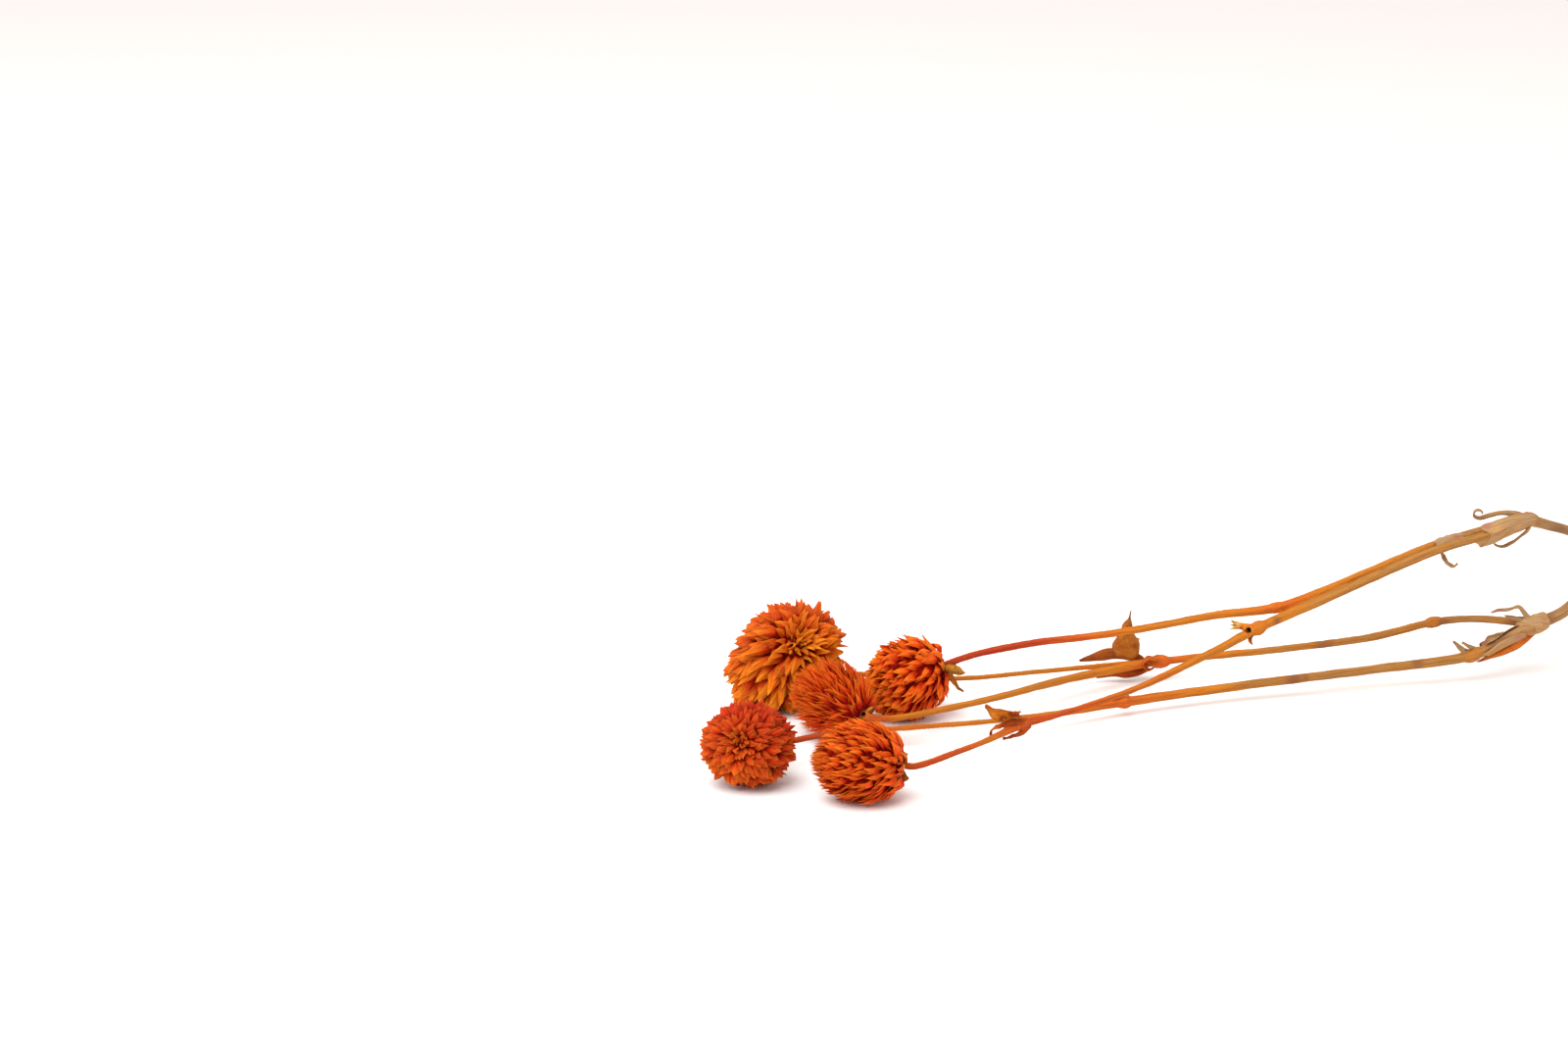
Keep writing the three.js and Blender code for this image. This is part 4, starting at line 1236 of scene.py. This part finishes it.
def follow_stem(mesh, lines):
    """Each point's tone, how near it is to a joint, a fresh cut and a stain, and whether it is in a
    bore. Then its place round its own length of stem, and along it in millimetres."""
    samples = []
    for line in lines:
        way = BARK_SHIFT * len(samples)
        points = [point for point, _, _ in line]
        for index, (_, across, other) in enumerate(directions(points)):
            point, _, tone = line[index]
            samples.append((point, tone, across, other, way))
            way += (points[min(index + 1, len(points) - 1)] - point).length / MM
    tree = kdtree.KDTree(len(samples))
    for index, sample in enumerate(samples):
        tree.insert(sample[0], index)
    tree.balance()
    joints = [at(place) for place, _, _, _ in SWELLINGS]
    fresh_end = at(STUBS[0][1])
    foot, above_foot = (at(place) for place, _, _ in STEM_LENGTHS[0][1][:2])
    down = (foot - above_foot).normalized()
    stains = [(at(place), half * MM) for place, half in STAINS]
    tones, near_joint, near_cut, stained, bored, places = [], [], [], [], [], []
    for vertex in mesh.vertices:
        _, index, _ = tree.find(vertex.co)
        point, tone, across, other, way = samples[index]
        out = vertex.co - point
        turn = math.atan2(out.dot(other), out.dot(across))
        tones.append(tone)
        places.append((math.cos(turn), math.sin(turn), way))
        distance = min((vertex.co - joint).length for joint in joints)
        near_joint.append(max(0.0, 1 - distance / JOINT_REACH))
        reach = (vertex.co - fresh_end).length / MM
        on_foot = -FOOT_FACE * MM < (vertex.co - foot).dot(down) < MM
        near_cut.append(1.0 if reach < CUT_REACH or on_foot else 0.0)
        stained.append(max(0.0, *(1 - (vertex.co - place).length / half for place, half in stains)))
        bored.append(float(any(in_bore(vertex.co, *stub) for stub in STUBS)))
    return dict(tone=tones, joint=near_joint, cut=near_cut, stain=stained, bore=bored), places


def roughen_stem(mesh, near_joint, places, depth):
    """Raises the stem's ribs and the cracked skin of its joints."""
    normals = [vertex.normal.copy() for vertex in mesh.vertices]
    for vertex, normal, joint, (x, y, way) in zip(mesh.vertices, normals, near_joint, places):
        turn = math.atan2(y, x)
        drift = noise.noise(Vector((way * 0.05, 0.0, 0.0))) * 3
        rib = math.sin(5 * turn + drift) * depth
        lump = noise.noise(Vector((x * 1.2, y * 1.2, way * 0.25))) * depth * 1.5
        crack = noise.noise(vertex.co * 1300) * 0.24 * MM * joint
        vertex.co += normal * (rib + lump + crack)


class AMARANTH_OT_stem(bpy.types.Operator):
    """Make the branching stem with its joints, ribs and cut stubs"""

    bl_idname = "amaranth.stem"
    bl_label = "Stem"

    def execute(self, context):
        settings = context.scene.amaranth.stem
        lines = stem_lines()
        piece = bare_stem(lines, settings.grain)
        mesh = piece.data
        marks, places = follow_stem(mesh, lines)
        roughen_stem(mesh, marks["joint"], places, settings.rib_depth)
        rest_on_surface(mesh)
        for name, values in marks.items():
            set_numbers(mesh, name, values)
        set_numbers(mesh, "bark_place", places, "FLOAT_VECTOR")
        smooth(mesh, STEM_CREASE)
        dress(mesh, stem_material("stem_skin", settings.bark, settings.ochre, settings.red))
        finished(piece, frame_slot("stem"), "stem")
        return {"FINISHED"}


HAIR_INPUTS = (
    ("Stalks", "NodeSocketGeometry"), ("Hair Shape", "NodeSocketObject"),
    ("Density", "NodeSocketFloat"), ("Hair Length", "NodeSocketFloat"), ("Seed", "NodeSocketInt"),
    ("Material", "NodeSocketMaterial"),
)


def hair_tree():
    """Short hairs that stand out of a skin, thickest where its tone is red."""
    tree, n, given = modifier_tree("stalk_hairs", HAIR_INPUTS, "Hairs")
    tone = n.add("GeometryNodeInputNamedAttribute", {"data_type": "FLOAT"}, {"Name": "tone"})
    density = given["Density"] * tone.step(0.74, 0.96)
    points = n.add("GeometryNodeDistributePointsOnFaces", None,
                   {"Mesh": given["Stalks"], "Density": density, "Seed": given["Seed"]})
    normal = Wire(n, points.socket.node.outputs[1])
    stray = n.add("FunctionNodeRandomValue", {"data_type": "FLOAT_VECTOR"},
                  {0: (-0.5, -0.5, -0.5), 1: (0.5, 0.5, 0.5), 8: given["Seed"] + 1})
    pointing = n.vectors("ADD", normal, stray)
    rotation = n.add("FunctionNodeAlignRotationToVector", {"axis": "Z"}, {"Vector": pointing})
    shape = n.add("GeometryNodeObjectInfo", None, {"Object": given["Hair Shape"]}, output="Geometry")
    size = given["Hair Length"] * n.drawn(0.5, 1.2, given["Seed"] + 2)
    hairs = n.add("GeometryNodeInstanceOnPoints", None, {
        "Points": points, "Instance": shape, "Rotation": rotation, "Scale": n.vector(size, size, size),
    })
    hairs = n.add("GeometryNodeRealizeInstances", None, {"Geometry": hairs})
    dressed = n.add("GeometryNodeSetMaterial", None,
                    {"Geometry": hairs, "Material": given["Material"]})
    n.add("NodeGroupOutput", None, (dressed,))
    return tree


class AMARANTH_OT_hairs(bpy.types.Operator):
    """Make the short hairs on the stalks under the heads"""

    bl_idname = "amaranth.hairs"
    bl_label = "Stalk Hairs"

    def execute(self, context):
        settings = context.scene.amaranth.stem
        bm = bmesh.new()
        bmesh.ops.create_cone(
            bm, cap_ends=True, segments=3, radius1=HAIR_ROOT, radius2=HAIR_TIP, depth=1.0,
            matrix=Matrix.Translation((0, 0, HAIR_RISE)),
        )
        shape = object_of("hair_shape", mesh_of("hair_shape", bm))
        piece = object_of("stalk_hairs", bpy.data.objects["dry_stem"].data.copy())
        modifier = piece.modifiers.new("Hairs", "NODES")
        modifier.node_group = hair_tree()
        hair_red = toned(settings.red, 1.5, 1.6, 1.5)
        material = stem_material("hair_skin", settings.ochre, settings.ochre, hair_red)
        set_inputs(modifier, {
            "Hair Shape": shape, "Density": settings.hairs * SQUARE_CENTIMETRES,
            "Hair Length": settings.hair_length, "Seed": HAIR_SEED, "Material": material,
        })
        settled(piece)
        bpy.data.objects.remove(shape)
        finished(piece, frame_slot("stem"))
        return {"FINISHED"}


# ---- Leaves ------------------------------------------------------------------------------------


def leaf_piece(name, leaf, thickness, material, steps=22, columns=11):
    """A dry blade along a line: its sides roll over, its surface crumples and its rim waves."""
    centres = [point for point, _ in spline([at(place) for place in leaf["line"]], LEAF_STEP)]
    across = Vector(leaf["across"]).normalized()
    seed = leaf["seed"]
    roll = leaf["roll"]
    ragged = leaf.get("ragged", 0.0)
    bm = bmesh.new()
    along_layer = bm.verts.layers.float.new("along")
    across_layer = bm.verts.layers.float.new("across")
    rust_layer = bm.verts.layers.float.new("rust")
    fresh_layer = bm.verts.layers.float.new("fresh")
    grid = []
    for row in range(steps + 1):
        line = []
        for column in range(columns):
            v = 2 * column / (columns - 1) - 1
            t = row / steps
            tear = noise.noise(Vector((v * 2.6, seed, 0.5)))
            tear += 0.7 * noise.noise(Vector((v * 9.0, seed, 2.5)))
            t += ragged * tear * (2 * t - 1) ** 2
            centre = between(centres, t)
            along = (between(centres, t + 0.02) - between(centres, t - 0.02)).normalized()
            side = (across - along * across.dot(along)).normalized()
            up = along.cross(side)
            bend = roll * v * (0.8 + 0.2 * math.sin(math.pi * t))
            if "wrap" in leaf:
                half = between(leaf["wrap"], t) * MM
                half *= 1 + 0.12 * noise.noise(Vector((t * 4, v, seed)))
                out = half * math.sin(bend)
                rise = -half * math.cos(bend)
            else:
                half = between(leaf["half_widths"], t) * MM
                half *= 1 + 0.22 * noise.noise(Vector((t * 6.0, v * 0.4, seed + 0.5)))
                out = half * math.sin(bend) / roll
                rise = half * (1 - math.cos(bend)) / roll
            spot = Vector((t * 3.1, v * 1.7, seed))
            crumple = noise.noise(spot) + 0.5 * noise.noise(spot * 2.7) + 0.3 * noise.noise(spot * 6.1)
            wave = 0.35 * abs(v) * math.sin(9 * t + seed + 1.5 * v)
            firm = min(1.0, 4 * half / MM) * min(1.0, t * 5)
            depth = leaf["crumple"] * MM * (crumple + wave) * firm
            vertex = bm.verts.new(centre + side * out + up * (rise + depth))
            vertex[along_layer] = t
            vertex[across_layer] = v
            vertex[rust_layer] = leaf.get("rust", 0.0)
            vertex[fresh_layer] = leaf.get("fresh", 0.0)
            line.append(vertex)
        grid.append(line)
    for row, following in zip(grid, grid[1:]):
        for column in range(columns - 1):
            bm.faces.new((row[column], row[column + 1], following[column + 1], following[column]))
    piece = object_of(name, mesh_of(name, bm))
    shell = piece.modifiers.new("Thickness", "SOLIDIFY")
    shell.thickness = thickness
    shell.offset = 0
    rounding = piece.modifiers.new("Rounding", "SUBSURF")
    rounding.levels = rounding.render_levels = 1
    settled(piece)
    smooth(piece.data)
    dress(piece.data, material)
    return piece


def joined_pieces(name, pieces):
    """Several objects made one."""
    bm = bmesh.new()
    for piece in pieces:
        bm.from_mesh(piece.data)
    mesh = bpy.data.meshes.new(name)
    bm.to_mesh(mesh)
    bm.free()
    mesh.materials.append(pieces[0].data.materials[0])
    for piece in pieces:
        bpy.data.objects.remove(piece)
    return object_of(name, mesh)


def leafy_pair(name, head, settings, material):
    """The two leafy bracts under a head and the round collar that they grow from."""
    _, along, side, other = head_axes(head)
    collar = collar_place(head)
    pieces = []
    for number, (turn, length, half_width, sweep, cup) in enumerate(LEAFY_BRACTS[name]):
        angle = math.radians(turn)
        out = side * math.cos(angle) + other * math.sin(angle)
        across = out.cross(along)
        line = []
        for share, back in LEAFY_BRACT_LINE:
            place = collar + (out * (0.85 + length * share) - along * sweep * length * back) * MM
            line.append(tuple(place / MM + ORIGIN))
        widths = [half_width * share for share in LEAFY_BRACT_WIDTHS]
        leaf = dict(line=line, half_widths=widths, across=tuple(across), roll=cup, crumple=0.5,
                    ragged=0.04, seed=head["seed"] + number)
        pieces.append(leaf_piece(
            f"leafy_{name}_{number}", leaf, settings.thickness, material, steps=16, columns=9
        ))
    bm = bmesh.new()
    rings = [(collar + along * step * MM, radius * MM) for step, radius in COLLAR_PROFILE]
    add_tube(bm, rings, sides=18)
    ring = object_of(f"collar_{name}", mesh_of(f"collar_{name}", bm))
    for layer, value in (("along", 0.5), ("across", 0.5), ("rust", 0.0)):
        set_numbers(ring.data, layer, [value] * len(ring.data.vertices))
    dress(ring.data, material)
    return joined_pieces(f"leafy_pair_{name}", [*pieces, ring])


class AMARANTH_OT_leafy_bracts(bpy.types.Operator):
    """Make the pair of leafy bracts under each head"""

    bl_idname = "amaranth.leafy_bracts"
    bl_label = "Leafy Bracts"

    def execute(self, context):
        settings = context.scene.amaranth.leaves
        material = leaf_material("leafy_bract", settings.olive, settings.pale, settings.dark)
        for name, head in HEADS.items():
            piece = leafy_pair(name, head, settings, material)
            finished(piece, frame_slot(f"leafy_bracts_{name}"), f"leafy_bracts_{name}")
        return {"FINISHED"}


class AMARANTH_OT_leaves(bpy.types.Operator):
    """Make the dry leaves at the front and back joints"""

    bl_idname = "amaranth.leaves"
    bl_label = "Dry Leaves"

    def execute(self, context):
        settings = context.scene.amaranth.leaves
        bright = leaf_material("dry_leaf", settings.leaf, settings.pale, settings.dark)
        dull = leaf_material(
            "dull_leaf", toned(settings.leaf, 0.6, 0.72, 0.9), toned(settings.pale, 0.75, 0.72, 0.8),
            toned(settings.dark, 0.7, 0.9, 1.0),
        )
        for node, leaf in LEAVES.items():
            material = bright if node == "leaf_front_curled" else dull
            piece = leaf_piece(f"dry_{node}", leaf, settings.thickness, material)
            finished(piece, frame_slot(node), node)
        scraps = [
            leaf_piece(f"scrap_{index}", scrap, settings.thickness, bright, steps=18, columns=9)
            for index, scrap in enumerate(LEAF_SCRAPS)
        ]
        finished(joined_pieces("leaf_scraps", scraps), frame_slot("leaf_back_lying"))
        return {"FINISHED"}


def frayed_end(joint, end, radius):
    """Torn fibres round the mouth of a cut stub, as blades."""
    draw = random.Random(FRAYED_SEED)
    end = Vector(end)
    along = (end - Vector(joint)).normalized()
    side = along.orthogonal().normalized()
    other = along.cross(side)
    fibres = []
    for index in range(FRAYED_FIBRES):
        turn = 2 * math.pi * (index + draw.uniform(-0.3, 0.3)) / FRAYED_FIBRES
        out = side * math.cos(turn) + other * math.sin(turn)
        reach = draw.uniform(0.6, 1.5)
        line = [end + out * radius * 0.86 + along * step for step in (-0.7, 0.0)]
        line.append(line[1] + along * reach + out * draw.uniform(-0.1, 0.5))
        fibres.append(dict(line=[tuple(place) for place in line], half_widths=(0.35, 0.35, 0.08),
                           across=tuple(out.cross(along)), roll=0.6, crumple=0.15, fresh=1.0,
                           seed=FIRST_FIBRE_SEED + index))
    return fibres


class AMARANTH_OT_bark(bpy.types.Operator):
    """Make the strips of bark that peel off the lower stems"""

    bl_idname = "amaranth.bark"
    bl_label = "Peeling Bark"

    def execute(self, context):
        settings = context.scene.amaranth
        pale = toned(settings.stem.bark, 1.45, 1.4, 1.25)
        material = strip_material("peeled_bark", pale, toned(settings.stem.bark, 0.6, 0.55, 0.55))
        strips = [
            leaf_piece(f"strip_{index}", strip, settings.leaves.thickness, material, steps=24)
            for index, strip in enumerate((*BARK_STRIPS, *frayed_end(*STUBS[0])))
        ]
        finished(joined_pieces("peeling_bark", strips), frame_slot("stem"))
        return {"FINISHED"}


# ---- The stage ---------------------------------------------------------------------------------


def soft_light(name, place, target, power):
    """A square soft light that faces a target."""
    light = bpy.data.lights.new(name, "AREA")
    light.size = LIGHT_SIDE
    light.energy = power
    light.color = LIGHT_COLOUR
    lamp = object_of(name, light)
    lamp.location = place
    lamp.rotation_euler = (Vector(target) - Vector(place)).to_track_quat("-Z", "Y").to_euler()


class AMARANTH_OT_stage(bpy.types.Operator):
    """Make the surface, the light and the camera"""

    bl_idname = "amaranth.stage"
    bl_label = "Stage"

    def execute(self, context):
        settings = context.scene.amaranth.stage
        camera = object_of("camera", bpy.data.cameras.new("camera"))
        camera.data.lens = CAMERA_LENS
        camera.location = at(CAMERA_PLACE)
        camera.rotation_euler = (math.radians(90 - CAMERA_PITCH), 0, 0)
        context.scene.camera = camera
        bm = bmesh.new()
        bmesh.ops.create_grid(bm, x_segments=8, y_segments=8, size=FLOOR_HALF_SIDE)
        floor = object_of("floor", mesh_of("floor", bm, clean=False))
        floor.data.materials.append(floor_material("pale_surface", settings.floor))
        world = bpy.data.worlds.new("studio")
        world.use_nodes = True
        sky = world.node_tree.nodes["Background"]
        sky.inputs["Color"].default_value = solid(SKY_COLOUR)
        sky.inputs["Strength"].default_value = settings.sky
        context.scene.world = world
        context.scene.view_settings.view_transform = "Standard"
        spot = at(LIT_SPOT)
        soft_light("main_light", spot + Vector(LIGHT_AWAY), spot, settings.key_power)
        return {"FINISHED"}


# ---- The add-on --------------------------------------------------------------------------------


OPERATORS = (
    AMARANTH_OT_stage, AMARANTH_OT_stem, AMARANTH_OT_bark, AMARANTH_OT_hairs, AMARANTH_OT_heads,
    AMARANTH_OT_leafy_bracts, AMARANTH_OT_leaves,
)


class AMARANTH_PT_panel(bpy.types.Panel):
    """Lists what makes the stem, and its settings"""

    bl_idname = "AMARANTH_PT_panel"
    bl_label = "Globe Amaranth"
    bl_space_type = "VIEW_3D"
    bl_region_type = "UI"
    bl_category = "Amaranth"

    def draw(self, context):
        settings = context.scene.amaranth
        for operator in OPERATORS:
            self.layout.operator(operator.bl_idname)
        for group in (settings.heads, settings.stem, settings.leaves, settings.stage):
            box = self.layout.box()
            for name in group.__annotations__:
                box.prop(group, name)


CLASSES = (
    HeadSettings, StemSettings, LeafSettings, StageSettings, AmaranthSettings, *OPERATORS,
    AMARANTH_PT_panel,
)


def register():
    """Registers the classes and the scene's settings."""
    for cls in CLASSES:
        bpy.utils.register_class(cls)
    bpy.types.Scene.amaranth = PointerProperty(type=AmaranthSettings)


def unregister():
    """Takes back what register did."""
    del bpy.types.Scene.amaranth
    for cls in reversed(CLASSES):
        bpy.utils.unregister_class(cls)


def main():
    """Makes every piece in order."""
    register()
    bpy.ops.amaranth.stage()
    bpy.ops.amaranth.stem()
    bpy.ops.amaranth.bark()
    bpy.ops.amaranth.hairs()
    bpy.ops.amaranth.heads()
    bpy.ops.amaranth.leafy_bracts()
    bpy.ops.amaranth.leaves()


if __name__ == "__main__":
    main()
